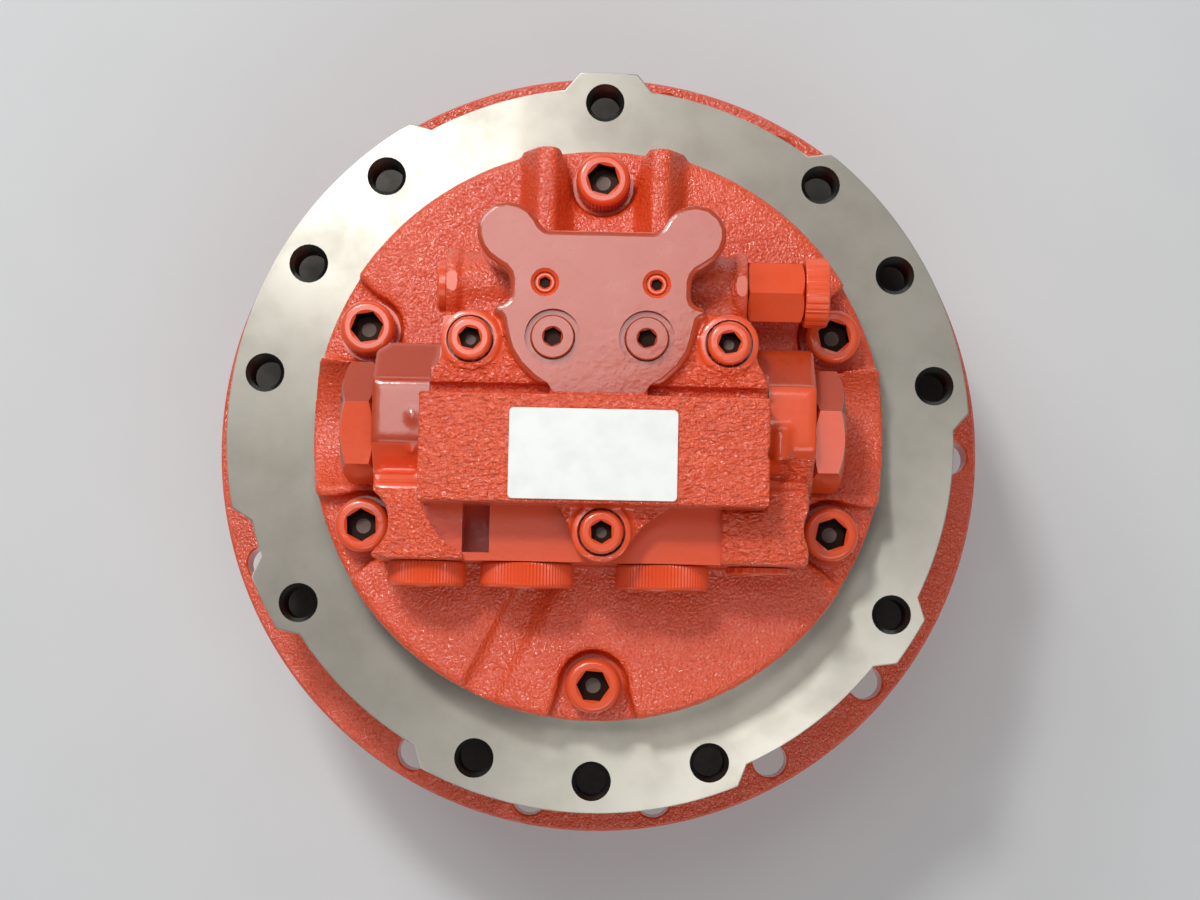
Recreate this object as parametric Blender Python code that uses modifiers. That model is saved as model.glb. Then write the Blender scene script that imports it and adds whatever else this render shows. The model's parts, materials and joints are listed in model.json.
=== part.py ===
"""Excavator final drive: a travel motor in a fixed case, and a hub that a two-stage planetary gear turns.

The axis is Z. The hub's end cover stands on Z = 0 and the valve block is at the top.
Lengths are in metres and angles in degrees.
"""

import math

import bmesh
import bpy
from mathutils import Matrix, Vector

# Fits that the whole drive shares
GAP = 0.0003  # between two pieces that seat on each other
RUNNING = 0.002  # along the axis, between pieces that turn past each other
OVERRUN = 0.003  # how far a cutter passes the face it cuts

# How finely round shapes are divided
LARGE_STEPS = 40
MEDIUM_STEPS = 20
SMALL_STEPS = 12
SHARP_ANGLE = 30
MERGE = 0.00001  # points this near are one point


def bore_round(radius, steps):
    """The radius of a bore whose flats leave room for a shaft of this radius to turn."""
    return (radius + GAP) / math.cos(math.pi / steps)


# Gears
MODULE = 0.003
PRESSURE_ANGLE = 20
TOOTH_ROOM = 0.00025  # taken off each flank
ROOT_DEPTH_SHARE = 1.25
RING_TEETH = 72
SUN_1_TEETH = 12
SUN_2_TEETH = 18
PLANET_COUNT = 3
PLANET_1_WIDTH = 0.020
PLANET_2_WIDTH = 0.030
PLANET_1_START = 90
PLANET_2_START = 30
PIN_1_RADIUS = 0.010
PIN_2_RADIUS = 0.014
PIN_2_SEAT = 0.018  # how far the second stage's pins enter the case
CARRIER_THICKNESS = 0.010
CARRIER_RIM = 0.004  # past the pins
SUN_1_STEM_RADIUS = 0.0095
SUN_2_BORE_ROOM = 0.0025  # round the first sun's stem
SUN_2_SPIGOT_WALL = 0.010

# End cover, the face that the drive stands on
COVER_BOSS_HEIGHT = 0.012
COVER_THICKNESS = 0.012
COVER_LEDGE = 0.0013  # past the ring gear's roots
COVER_BOSS_SHARE = 0.69
COVER_FOOT_SHARE = 0.93
COVER_HOLLOW_SHARE = 0.655
THRUST_BOSS_RADIUS = 0.016
THRUST_PLATE_THICKNESS = 0.004
SNAP_RING_WIDTH = 0.0036
SNAP_RING_DEPTH = 0.0078
SNAP_RING_GRIP = 0.0027
OIL_PLUG_CIRCLE_SHARE = 0.48
OIL_PLUG_RADIUS = 0.011
OIL_PLUG_STEM_RADIUS = 0.008
OIL_PLUG_HEAD = 0.005
OIL_PLUG_SINK = 0.001
OIL_PLUG_SOCKET = 0.005
OIL_PLUG_ANGLES = {"oil_fill_plug": 90, "oil_level_plug": 180, "oil_drain_plug": 270}

# Hub
HUB_RIM_HEIGHT = 0.005
HUB_RIM_CHAMFER = 0.003
HUB_WALL = 0.010  # past the snap ring's groove
HUB_RELIEF = 0.004
HUB_RELIEF_DEPTH = 0.0006
HUB_SHOULDER_DEPTH = 0.0075
HUB_SHOULDER_THICKNESS = 0.005
HUB_TOP_WALL = 0.0075
HUB_TOP_ROOM = 0.004
SPROCKET_FLANGE_RADIUS = 0.1595
SPROCKET_FLANGE_THICKNESS = 0.016
SPROCKET_FLANGE_DROP = 0.060  # from the frame flange's face
SPROCKET_HOLE_INSET = 0.0111
SPROCKET_HOLE_RADIUS = 0.0072
SPROCKET_HOLE_PITCH = 20
SPROCKET_HOLES_LEFT_OUT = (-20, -140, 100)

# Main bearings, nut and floating seal
NECK_WALL = 0.0032  # outside the second stage's pins
BEARING_DEPTH = 0.0225
BEARING_WIDTH = 0.022
NUT_WIDTH = 0.009
NUT_ROOM = 0.003
CASE_SHOULDER = 0.0088
SEAL_RING_WIDTH = 0.0085
SKIRT_THICKNESS = 0.0045
SKIRT_LENGTH = 0.0065
SKIRT_ROOM = 0.0022

# Frame flange, the machined face that bolts to the track frame
SKIRT_TO_FLANGE = 0.0065
FRAME_FLANGE_THICKNESS = 0.018
FRAME_HOLE_CIRCLE = 0.135
FRAME_HOLE_RADIUS = 0.007
FRAME_HOLE_ANGLES = (90, 50, 30, 10, -30, -70, -90, -110, -150, 170, 150, 130)
FRAME_RIM = 0.006  # past the hole circle, between the lobes
FRAME_LOBE = 0.0125  # past the hole circle, on the lobes
FRAME_LOBE_SPANS = ((5, 52), (85, 94), (122, 192), (203, 212), (243, 293), (324, 332))
FRAME_LOBE_SLOPE = 2.5
FRAME_ARC_STEP = 7.5
PILOT_RADIUS = 0.1107
PILOT_HEIGHT = 0.007

# Motor: shaft, cylinder block, swash plate and parking brake
SHAFT_RADIUS = 0.0147
SHAFT_ROOM = 0.0008
SHAFT_END_RADIUS = 0.012
SHAFT_END_LENGTH = 0.014
SHAFT_SOCKET_DEPTH = 0.0175
SHAFT_BEARING_DEPTH = 0.0157
SHAFT_BEARING_WIDTH = 0.0154
SHAFT_BEARING_SEAT = 0.008  # above the case's lower face
END_BEARING_DEPTH = 0.0065
END_BEARING_WIDTH = 0.012
BARREL_RADIUS = 0.047
BARREL_LENGTH = 0.040
PISTON_COUNT = 9
PISTON_CIRCLE = 0.032
PISTON_RADIUS = 0.0065
PISTON_REACH = 0.027
PISTON_BORE_DEPTH = 0.030
RETAINER_THICKNESS = 0.0035
RETAINER_INNER_ROOM = 0.007
RETAINER_RIM = 0.0045
RETAINER_DROP = 0.003
SWASH_RIM = 0.001  # inside the cylinder block's radius
SWASH_BORE_ROOM = 0.007
SWASH_TILT = 13
SWASH_SWING = 6
SWASH_CLEARANCE = 0.0014
SWASH_SEAT_SLACK = 0.5
CAVITY_ROOM = 0.005
VALVE_PLATE_RADIUS = 0.045
VALVE_PLATE_THICKNESS = 0.0037
VALVE_PORT_WIDTH = 0.008
VALVE_PORT_SPAN = 62
VALVE_PORT_SHARES = (-1, -0.5, 0, 0.5, 1)
BRAKE_LEDGE_RISE = 0.0017
BRAKE_DISC_DEPTH = 0.011
BRAKE_DISC_THICKNESS = 0.004
BRAKE_STEP_RISE = 0.008
BRAKE_PISTON_DEPTH = 0.0035
BRAKE_PISTON_LIFT = 0.002
BRAKE_PISTON_LENGTH = 0.024
BRAKE_PISTON_ROOM = 0.002

# Rear cover, the round casting that closes the motor
REAR_COVER_RADIUS = 0.111
REAR_COVER_THICKNESS = 0.0217
REAR_COVER_CHAMFER = 0.0015
COVER_SCREW_INSET = 0.014  # from the rear cover's rim
COVER_SCREW_ANGLES = (90, 157, 203, 270, -23, 23)
COVER_SCREW_HEAD_RADIUS = 0.0105
COVER_SCREW_HEAD_HEIGHT = 0.014
COVER_SCREW_RADIUS = 0.0068
COVER_SCREW_LENGTH = 0.036
COVER_SCREW_SOCKET = 0.0069
COVER_SCREW_TIP_ROOM = 0.002
COVER_POCKET_DEPTH = 0.008
COVER_POCKET_ROOM = 0.003
TROUGH_DEPTH = 0.0115
TROUGH_ROOM = 0.0035
RIB_HEIGHT = 0.011
RIB_WIDTH = 0.0165
RIB_LEFT = 0.0216
RIB_RIGHT = 0.0220
RIB_START_SHARE = 0.55
RIB_END_SHARE = 0.945
CHANNEL_DEPTH = 0.0025
CHANNEL_WIDTH = 0.010
CHANNEL_START_SHARE = (-0.20, -0.54)
CHANNEL_END_SHARE = (-0.42, -0.97)

# Port body, the block cast on the rear cover
BODY_HEIGHT = 0.037
BODY_LEFT = 0.082
BODY_RIGHT = 0.0775
BODY_FRONT = 0.0515
BODY_STEP = 0.020
BODY_SIDE = 0.001  # past the valve block's sides
PAD_HEIGHT = 0.004
PAD_WIDTH = 0.0265
PAD_BACK = 0.032
SLOT_WIDTH = 0.010
SLOT_DEPTH = 0.022
SLOT_LEFT = 0.049
SLOT_FRONT_WALL = 0.003

# Valve block, screwed on the port body
BLOCK_LEFT = 0.064
BLOCK_RIGHT = 0.0615
BLOCK_FRONT = 0.031
BLOCK_BACK = 0.0075
PLATE_HEIGHT = 0.0197
BLOCK_RISE = 0.006
SHOULDER_LEFT = 0.0585
SHOULDER_RIGHT = 0.056
SHOULDER_BACK = 0.039
GUSSET_DROP = 0.005
WAIST = 0.0315
WAIST_BACK = 0.056
EAR_SPREAD = 0.0345
EAR_BACK = 0.067
EAR_RADIUS = 0.0092
EAR_STEP = 30
EAR_FOOT = 0.015  # from the ear's centre to its foot on the bridge
BRIDGE_BACK = 0.066

# Valve block screws
BLOCK_SCREW_SPREAD = 0.0468
BLOCK_SCREW_BACK = 0.028
BLOCK_SCREW_MIDDLE = 0.002
BLOCK_SCREW_FRONT = 0.041
BLOCK_SCREW_HEAD_RADIUS = 0.008
BLOCK_SCREW_HEAD_HEIGHT = 0.010
BLOCK_SCREW_RADIUS = 0.0048
BLOCK_SCREW_LENGTH = 0.034
BLOCK_SCREW_SOCKET = 0.0046
BLOCK_SCREW_TIP_ROOM = 0.002
BOSS_WALL = 0.0028
BOSS_DROP = 0.003

# Plugs in the valve block's machined face
SHUTTLE_PLUG_SPREAD = 0.0170
SHUTTLE_PLUG_BACK = 0.029
SHUTTLE_PLUG_RADIUS = 0.0077
SHUTTLE_PLUG_DEPTH = 0.010
SHUTTLE_PLUG_SOCKET = 0.0049
SHUTTLE_FACE_RADIUS = 0.0098
SHUTTLE_FACE_DEPTH = 0.0012
GAUGE_PLUG_SPREAD = 0.0202
GAUGE_PLUG_BACK = 0.0487
GAUGE_PLUG_RADIUS = 0.0037
GAUGE_PLUG_DEPTH = 0.007
GAUGE_PLUG_SOCKET = 0.0022
GAUGE_PLUG_SINK = 0.001

# Data plate
DATA_PLATE_LEFT = 0.0316
DATA_PLATE_RIGHT = 0.0286
DATA_PLATE_FRONT = 0.030
DATA_PLATE_BACK = 0.0025
DATA_PLATE_THICKNESS = 0.0008

# Counterbalance spool across the port body
SPOOL_LEVEL = 0.015  # above the rear cover's face
SPOOL_RADIUS = 0.0137
SPOOL_NECK_SHARE = 0.66
SPOOL_LAND_LENGTH = 0.018
SPOOL_TRAVEL = 0.006
SPOOL_END_ROOM = 0.003
COLLAR_HALF = 0.0274  # half across the flats of the octagon collar round each end of the spool bore
COLLAR_BACK = 0.0025  # how far its middle is behind the bore's axis
COLLAR_CORE_RADIUS = 0.0205
COLLAR_LEFT = 0.083
COLLAR_RIGHT = 0.080
SPOOL_CAP_RADIUS = 0.0238
SPOOL_CAP_LEFT_LENGTH = 0.012
SPOOL_CAP_RIGHT_LENGTH = 0.011
SPOOL_CAP_STEM_RADIUS = 0.017
SPOOL_CAP_STEM_LENGTH = 0.012

# Pilot line connections, one plugged and one with an adapter and a dust cap
PILOT_LEVEL = 0.023  # above the rear cover's face
PILOT_BACK = 0.0518
PILOT_BOSS_RADIUS = 0.0133
PILOT_BOSS_LEFT = 0.0575
PILOT_BOSS_RIGHT = 0.0545
PILOT_FOOT_SHARE = 0.9
PILOT_PLUG_RADIUS = 0.010
PILOT_PLUG_HEAD = 0.003
PILOT_STEM_RADIUS = 0.007
PILOT_STEM_LENGTH = 0.010
PILOT_SOCKET = 0.004
PILOT_ADAPTER_RADIUS = 0.0125
PILOT_ADAPTER_LENGTH = 0.021
PILOT_CAP_RADIUS = 0.0131
PILOT_CAP_LENGTH = 0.009
PILOT_CAP_STEM_RADIUS = 0.006
PILOT_CAP_STEM_LENGTH = 0.008

# Hose ports on the front of the port body, each closed by a dust cap: place and cap radius
PORT_LEVEL = 0.0195  # above the rear cover's face
PORT_CAP_HEAD = 0.009
PORT_CAP_STEM_LENGTH = 0.010
PORT_CAP_LIP = 0.005
DRAIN_PORT_X = -0.0629
DRAIN_CAP_RADIUS = 0.0145
MAIN_PORT_LEFT_X = -0.0255
MAIN_PORT_RIGHT_X = 0.0250
MAIN_CAP_RADIUS = 0.0174
SPEED_PORT_X = 0.0609
SPEED_CAP_RADIUS = 0.0122
PORT_CAPS = {
    "drain_port_cap": (DRAIN_PORT_X, DRAIN_CAP_RADIUS),
    "main_port_cap_left": (MAIN_PORT_LEFT_X, MAIN_CAP_RADIUS),
    "main_port_cap_right": (MAIN_PORT_RIGHT_X, MAIN_CAP_RADIUS),
    "speed_port_cap": (SPEED_PORT_X, SPEED_CAP_RADIUS),
}
PORT_CAP_HEADS = {
    "drain_port_cap": PORT_CAP_HEAD,
    "main_port_cap_left": PORT_CAP_HEAD,
    "main_port_cap_right": PORT_CAP_HEAD,
    "speed_port_cap": PORT_CAP_LIP / 2,
}

# Gear sizes that follow
PLANET_1_TEETH = (RING_TEETH - SUN_1_TEETH) // 2
PLANET_2_TEETH = (RING_TEETH - SUN_2_TEETH) // 2
PIN_1_CIRCLE = MODULE * (SUN_1_TEETH + PLANET_1_TEETH) / 2
PIN_2_CIRCLE = MODULE * (SUN_2_TEETH + PLANET_2_TEETH) / 2
RING_TIP_RADIUS = MODULE * (RING_TEETH / 2 - 1)
RING_ROOT_RADIUS = MODULE * (RING_TEETH / 2 + ROOT_DEPTH_SHARE)
SUN_2_BORE = SUN_1_STEM_RADIUS + SUN_2_BORE_ROOM
SUN_2_SPIGOT = SUN_2_BORE + SUN_2_SPIGOT_WALL
CARRIER_RADIUS = PIN_1_CIRCLE + PIN_1_RADIUS + CARRIER_RIM

# Heights that follow, from the floor up
COVER_FLANGE_Z = COVER_BOSS_HEIGHT
COVER_INNER_Z = COVER_FLANGE_Z + COVER_THICKNESS
GEAR_SEAT_Z = COVER_INNER_Z + GAP
THRUST_TOP_Z = GEAR_SEAT_Z + THRUST_PLATE_THICKNESS
SUN_1_Z = THRUST_TOP_Z + GAP
PLANET_1_Z = THRUST_TOP_Z + RUNNING
PLANET_1_TOP_Z = PLANET_1_Z + PLANET_1_WIDTH
CARRIER_Z = PLANET_1_TOP_Z + RUNNING
CARRIER_TOP_Z = CARRIER_Z + CARRIER_THICKNESS
PIN_2_Z = CARRIER_TOP_Z + RUNNING
PLANET_2_Z = PIN_2_Z + RUNNING
PLANET_2_TOP_Z = PLANET_2_Z + PLANET_2_WIDTH
CASE_FACE_Z = PLANET_2_TOP_Z + RUNNING
TEETH_TOP_Z = CASE_FACE_Z
NUT_Z = CASE_FACE_Z + RUNNING
BEARING_1_Z = NUT_Z + NUT_WIDTH + GAP
BEARING_2_Z = BEARING_1_Z + BEARING_WIDTH + GAP
CASE_SHOULDER_Z = BEARING_2_Z + BEARING_WIDTH + GAP
SEAL_2_Z = CASE_SHOULDER_Z + SEAL_RING_WIDTH + GAP
SEAL_ROOF_Z = SEAL_2_Z + SEAL_RING_WIDTH + GAP
FRAME_BACK_Z = SEAL_ROOF_Z + SKIRT_TO_FLANGE
FRAME_FACE_Z = FRAME_BACK_Z + FRAME_FLANGE_THICKNESS
CASE_TOP_Z = FRAME_FACE_Z + PILOT_HEIGHT
REAR_COVER_Z = CASE_TOP_Z + GAP
REAR_COVER_TOP_Z = REAR_COVER_Z + REAR_COVER_THICKNESS
SCREW_SEAT_Z = REAR_COVER_TOP_Z - COVER_POCKET_DEPTH
BODY_TOP_Z = REAR_COVER_TOP_Z + BODY_HEIGHT
BLOCK_Z = BODY_TOP_Z + GAP
PLATE_TOP_Z = BLOCK_Z + PLATE_HEIGHT
BLOCK_TOP_Z = PLATE_TOP_Z + BLOCK_RISE
SKIRT_Z = SEAL_ROOF_Z - SKIRT_LENGTH
HUB_LEDGE_Z = SKIRT_Z - RUNNING
HUB_TOP_Z = FRAME_BACK_Z - HUB_TOP_ROOM
SPROCKET_TOP_Z = FRAME_FACE_Z - SPROCKET_FLANGE_DROP
SPROCKET_BOTTOM_Z = SPROCKET_TOP_Z - SPROCKET_FLANGE_THICKNESS

# Radii that follow
NECK_RADIUS = PIN_2_CIRCLE + PIN_2_RADIUS + NECK_WALL
BEARING_INNER = NECK_RADIUS + GAP
BEARING_OUTER = BEARING_INNER + BEARING_DEPTH
HUB_BORE = bore_round(BEARING_OUTER, LARGE_STEPS)
HUB_SHOULDER_RADIUS = BEARING_OUTER - HUB_SHOULDER_DEPTH
SHOULDER_RADIUS = NECK_RADIUS + CASE_SHOULDER
SKIRT_RADIUS = HUB_BORE + SKIRT_THICKNESS
HUB_TOP_BORE = SKIRT_RADIUS + SKIRT_ROOM
HUB_TOP_RADIUS = HUB_TOP_BORE + HUB_TOP_WALL
COVER_BORE = RING_ROOT_RADIUS + COVER_LEDGE + GAP
COVER_RADIUS = COVER_BORE - GAP
GROOVE_RADIUS = COVER_BORE + SNAP_RING_GRIP
HUB_RADIUS = GROOVE_RADIUS + HUB_WALL
COVER_SCREW_CIRCLE = REAR_COVER_RADIUS - COVER_SCREW_INSET
SPROCKET_HOLE_CIRCLE = SPROCKET_FLANGE_RADIUS - SPROCKET_HOLE_INSET
SHAFT_BEARING_INNER = bore_round(SHAFT_RADIUS, MEDIUM_STEPS)
SHAFT_BEARING_OUTER = SHAFT_BEARING_INNER + SHAFT_BEARING_DEPTH
END_BEARING_INNER = bore_round(SHAFT_END_RADIUS, MEDIUM_STEPS)
END_BEARING_OUTER = END_BEARING_INNER + END_BEARING_DEPTH
CAVITY_RADIUS = BARREL_RADIUS + CAVITY_ROOM
SWASH_RADIUS = BARREL_RADIUS - SWASH_RIM
BRAKE_DISC_OUTER = BARREL_RADIUS + GAP + BRAKE_DISC_DEPTH
BRAKE_DISC_BORE = bore_round(BRAKE_DISC_OUTER, MEDIUM_STEPS)
BRAKE_BORE = BRAKE_DISC_BORE + BRAKE_PISTON_DEPTH

# Motor heights that follow
SHAFT_BEARING_Z = CASE_FACE_Z + SHAFT_BEARING_SEAT
CAVITY_FLOOR_Z = SHAFT_BEARING_Z + SHAFT_BEARING_WIDTH + 2 * GAP
BARREL_TOP_Z = CASE_TOP_Z - VALVE_PLATE_THICKNESS - GAP
BARREL_Z = BARREL_TOP_Z - BARREL_LENGTH
RETAINER_TOP_Z = BARREL_Z - RETAINER_DROP
RETAINER_Z = RETAINER_TOP_Z - RETAINER_THICKNESS
BRAKE_LEDGE_Z = BARREL_Z + BRAKE_LEDGE_RISE
BRAKE_STEP_Z = BRAKE_LEDGE_Z + BRAKE_STEP_RISE
SPOOL_Z = REAR_COVER_TOP_Z + SPOOL_LEVEL
PILOT_Z = REAR_COVER_TOP_Z + PILOT_LEVEL
PORT_Z = REAR_COVER_TOP_Z + PORT_LEVEL

BLOCK_SCREW_PLACES = (
    (-BLOCK_SCREW_SPREAD, BLOCK_SCREW_BACK),
    (BLOCK_SCREW_SPREAD, BLOCK_SCREW_BACK),
    (BLOCK_SCREW_MIDDLE, -BLOCK_SCREW_FRONT),
)
BLOCK_SCREW_SEAT_Z = PLATE_TOP_Z - BLOCK_SCREW_HEAD_HEIGHT

X_AXIS = Vector((1, 0, 0))
Y_AXIS = Vector((0, 1, 0))
Z_AXIS = Vector((0, 0, 1))

# Finish of each kind of piece: colour, roughness, metallic
FINISHES = {
    "red_enamel": ((0.78, 0.11, 0.05), 0.35, 0.0),
    "red_plastic_cap": ((0.74, 0.10, 0.05), 0.45, 0.0),
    "turned_steel": ((0.62, 0.61, 0.58), 0.30, 1.0),
    "ground_steel": ((0.55, 0.56, 0.57), 0.22, 1.0),
    "gear_steel": ((0.36, 0.35, 0.34), 0.35, 1.0),
    "bearing_steel": ((0.66, 0.67, 0.68), 0.18, 1.0),
    "black_steel": ((0.05, 0.05, 0.05), 0.45, 0.8),
    "friction_lining": ((0.16, 0.12, 0.09), 0.90, 0.0),
    "bronze": ((0.55, 0.38, 0.18), 0.35, 1.0),
    "plain_label": ((0.90, 0.90, 0.88), 0.50, 0.0),
}


def clear_scene():
    for obj in list(bpy.data.objects):
        bpy.data.objects.remove(obj, do_unlink=True)


def new_collection(name):
    made = bpy.data.collections.new(name)
    bpy.context.scene.collection.children.link(made)
    return made


def finish(name):
    """The Principled material of one finish, made once."""
    found = bpy.data.materials.get(name)
    if found:
        return found
    colour, roughness, metallic = FINISHES[name]
    made = bpy.data.materials.new(name)
    made.use_nodes = True
    shader = made.node_tree.nodes["Principled BSDF"]
    shader.inputs["Base Color"].default_value = (*colour, 1)
    shader.inputs["Roughness"].default_value = roughness
    shader.inputs["Metallic"].default_value = metallic
    made.diffuse_color = (*colour, 1)
    return made


def polar(radius, degrees):
    turn = math.radians(degrees)
    return Vector((radius * math.cos(turn), radius * math.sin(turn)))


def object_of(name, mesh):
    """A helper shape, not rendered until node() makes it a piece of the drive."""
    made = bpy.data.objects.new(name, mesh)
    cutters.objects.link(made)
    made.hide_render = True
    made.display_type = "WIRE"
    return made


def from_bmesh(name, shape):
    mesh = bpy.data.meshes.new(name)
    shape.to_mesh(mesh)
    shape.free()
    return object_of(name, mesh)


def box(name, low, high):
    shape = bmesh.new()
    bmesh.ops.create_cube(shape, size=1)
    low, high = Vector(low), Vector(high)
    bmesh.ops.scale(shape, vec=high - low, verts=shape.verts)
    bmesh.ops.translate(shape, vec=(low + high) / 2, verts=shape.verts)
    return from_bmesh(name, shape)


def bar(name, start, end, width, bottom, top):
    """A box of this width along the line from start to end, both (x, y)."""
    start, end = Vector(start), Vector(end)
    along = end - start
    shape = bmesh.new()
    bmesh.ops.create_cube(shape, size=1)
    bmesh.ops.scale(shape, vec=(along.length, width, top - bottom), verts=shape.verts)
    bmesh.ops.rotate(shape, matrix=Matrix.Rotation(math.atan2(along.y, along.x), 3, "Z"), verts=shape.verts)
    middle = (start + end) / 2
    bmesh.ops.translate(shape, vec=(middle.x, middle.y, (bottom + top) / 2), verts=shape.verts)
    return from_bmesh(name, shape)


def rod(name, radius, base, length, axis=Z_AXIS, steps=SMALL_STEPS):
    """A cylinder that starts at base and runs this far along axis. Six steps make a hexagon."""
    shape = bmesh.new()
    bmesh.ops.create_cone(
        shape, cap_ends=True, segments=steps, radius1=radius, radius2=radius, depth=length
    )
    turn = Z_AXIS.rotation_difference(axis).to_matrix()
    bmesh.ops.rotate(shape, matrix=turn, verts=shape.verts)
    bmesh.ops.translate(shape, vec=Vector(base) + axis * length / 2, verts=shape.verts)
    return from_bmesh(name, shape)


def evaluated_copy(name, obj):
    """obj made a mesh, with the doubles of its caps or its seam merged."""
    bpy.context.view_layer.update()
    graph = bpy.context.evaluated_depsgraph_get()
    mesh = bpy.data.meshes.new_from_object(obj.evaluated_get(graph))
    shape = bmesh.new()
    shape.from_mesh(mesh)
    bmesh.ops.remove_doubles(shape, verts=shape.verts, dist=MERGE)
    shape.to_mesh(mesh)
    shape.free()
    place = obj.matrix_world.copy()
    bpy.data.objects.remove(obj, do_unlink=True)
    made = object_of(name, mesh)
    made.matrix_world = place
    return made


def turned(name, profile, steps=LARGE_STEPS):
    """A turned shape. The profile's (radius, height) points run down its outer side."""
    mesh = bpy.data.meshes.new(name)
    closed = all(radius > 0 for radius, _ in profile)
    edges = [(i, i + 1) for i in range(len(profile) - 1)]
    if closed:
        edges.append((len(profile) - 1, 0))
    mesh.from_pydata([(radius, 0, height) for radius, height in profile], edges, [])
    made = object_of(name, mesh)
    screw = made.modifiers.new("turn", "SCREW")
    screw.steps = steps
    screw.render_steps = steps
    screw.use_merge_vertices = True
    screw.merge_threshold = MERGE
    return evaluated_copy(name, made)


def ring(name, inner, outer, bottom, top, steps=LARGE_STEPS):
    return turned(name, [(outer, top), (outer, bottom), (inner, bottom), (inner, top)], steps)


def plate(name, outline, bottom, top):
    """A flat outline, as thick as from bottom to top."""
    curve = bpy.data.curves.new(name, "CURVE")
    curve.dimensions = "2D"
    curve.fill_mode = "BOTH"
    curve.extrude = (top - bottom) / 2
    line = curve.splines.new("POLY")
    line.points.add(len(outline) - 1)
    for point, (x, y) in zip(line.points, outline):
        point.co = (x, y, 0, 1)
    line.use_cyclic_u = True
    made = object_of(name, curve)
    made.location.z = (bottom + top) / 2
    return evaluated_copy(name, made)


def boolean(obj, operation, others):
    for other in others:
        step = obj.modifiers.new(other.name, "BOOLEAN")
        step.operation = operation
        step.solver = "EXACT"
        step.object = other
    return obj


def cut(obj, *others):
    return boolean(obj, "DIFFERENCE", others)


def join(obj, *others):
    return boolean(obj, "UNION", others)


def body(name, place=(0, 0, 0)):
    """The empty that carries one rigid body, on its joint's axis."""
    made = bpy.data.objects.new(name, None)
    made.location = place
    drive.objects.link(made)
    return made


def hang(obj, carrier):
    """Parents a shape, and every shape that its Booleans use, to the empty of its body."""
    obj.parent = carrier
    for step in obj.modifiers:
        hang(step.object, carrier)


def node(obj, carrier, look):
    """Makes a shape a piece of the drive. Its mesh is in its carrier's own frame."""
    cutters.objects.unlink(obj)
    drive.objects.link(obj)
    obj.hide_render = False
    obj.display_type = "TEXTURED"
    hang(obj, carrier)
    obj.data.materials.clear()
    obj.data.materials.append(finish(look))
    obj.data.shade_smooth()
    obj.data.set_sharp_from_angle(angle=math.radians(SHARP_ANGLE))
    return obj


def involute(angle):
    return math.tan(angle) - angle


def tooth_half_angle(teeth, radius, internal):
    """Half the tooth's angle at this radius, less the room for running."""
    pitch_radius = MODULE * teeth / 2
    pressure = math.radians(PRESSURE_ANGLE)
    base_radius = pitch_radius * math.cos(pressure)
    here = math.acos(min(1, base_radius / radius))
    change = involute(pressure) - involute(here)
    half = math.pi / (2 * teeth) + (-change if internal else change)
    return half - TOOTH_ROOM / radius


def gear_outline(teeth, internal=False, phase=0):
    """Tooth after tooth, each with straight flanks. phase is the first tooth's direction."""
    root_side = -ROOT_DEPTH_SHARE if not internal else ROOT_DEPTH_SHARE
    root = MODULE * (teeth / 2 + root_side)
    tip = MODULE * (teeth / 2 + (1 if not internal else -1))
    root_half = tooth_half_angle(teeth, root, internal)
    tip_half = tooth_half_angle(teeth, tip, internal)
    points = []
    for tooth in range(teeth):
        middle = math.radians(phase) + 2 * math.pi * tooth / teeth
        for radius, offset in ((root, -root_half), (tip, -tip_half), (tip, tip_half), (root, root_half)):
            turn = middle + offset
            points.append((radius * math.cos(turn), radius * math.sin(turn)))
    return points


def planet_phase(direction, planet_teeth):
    """Turns a planet so that its gap faces the ring gear's tooth. The ring's first tooth is at 0."""
    ring_place = direction * RING_TEETH / 360
    return direction - (ring_place + 0.5) * 360 / planet_teeth


def sun_phase(direction, planet_teeth, sun_teeth):
    """Turns a sun so that it meshes with the planet in this direction."""
    planet = planet_phase(direction, planet_teeth)
    planet_place = (direction + 180 - planet) * planet_teeth / 360
    return direction - (0.5 - planet_place) * 360 / sun_teeth


def planet_directions(start):
    return [start + 360 * i / PLANET_COUNT for i in range(PLANET_COUNT)]


def frame_outline():
    """The frame flange's edge: an arc on each lobe, and lower arcs between them."""
    low = FRAME_HOLE_CIRCLE + FRAME_RIM
    high = FRAME_HOLE_CIRCLE + FRAME_LOBE
    corners = []
    for start, end in FRAME_LOBE_SPANS:
        corners += [(start - FRAME_LOBE_SLOPE, low), (start, high), (end, high), (end + FRAME_LOBE_SLOPE, low)]
    points = []
    for i, (angle, radius) in enumerate(corners):
        following, next_radius = corners[(i + 1) % len(corners)]
        points.append(polar(radius, angle))
        if next_radius != radius:
            continue
        span = (following - angle) % 360
        pieces = max(1, round(span / FRAME_ARC_STEP))
        points += [polar(radius, angle + span * k / pieces) for k in range(1, pieces)]
    return points


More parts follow.
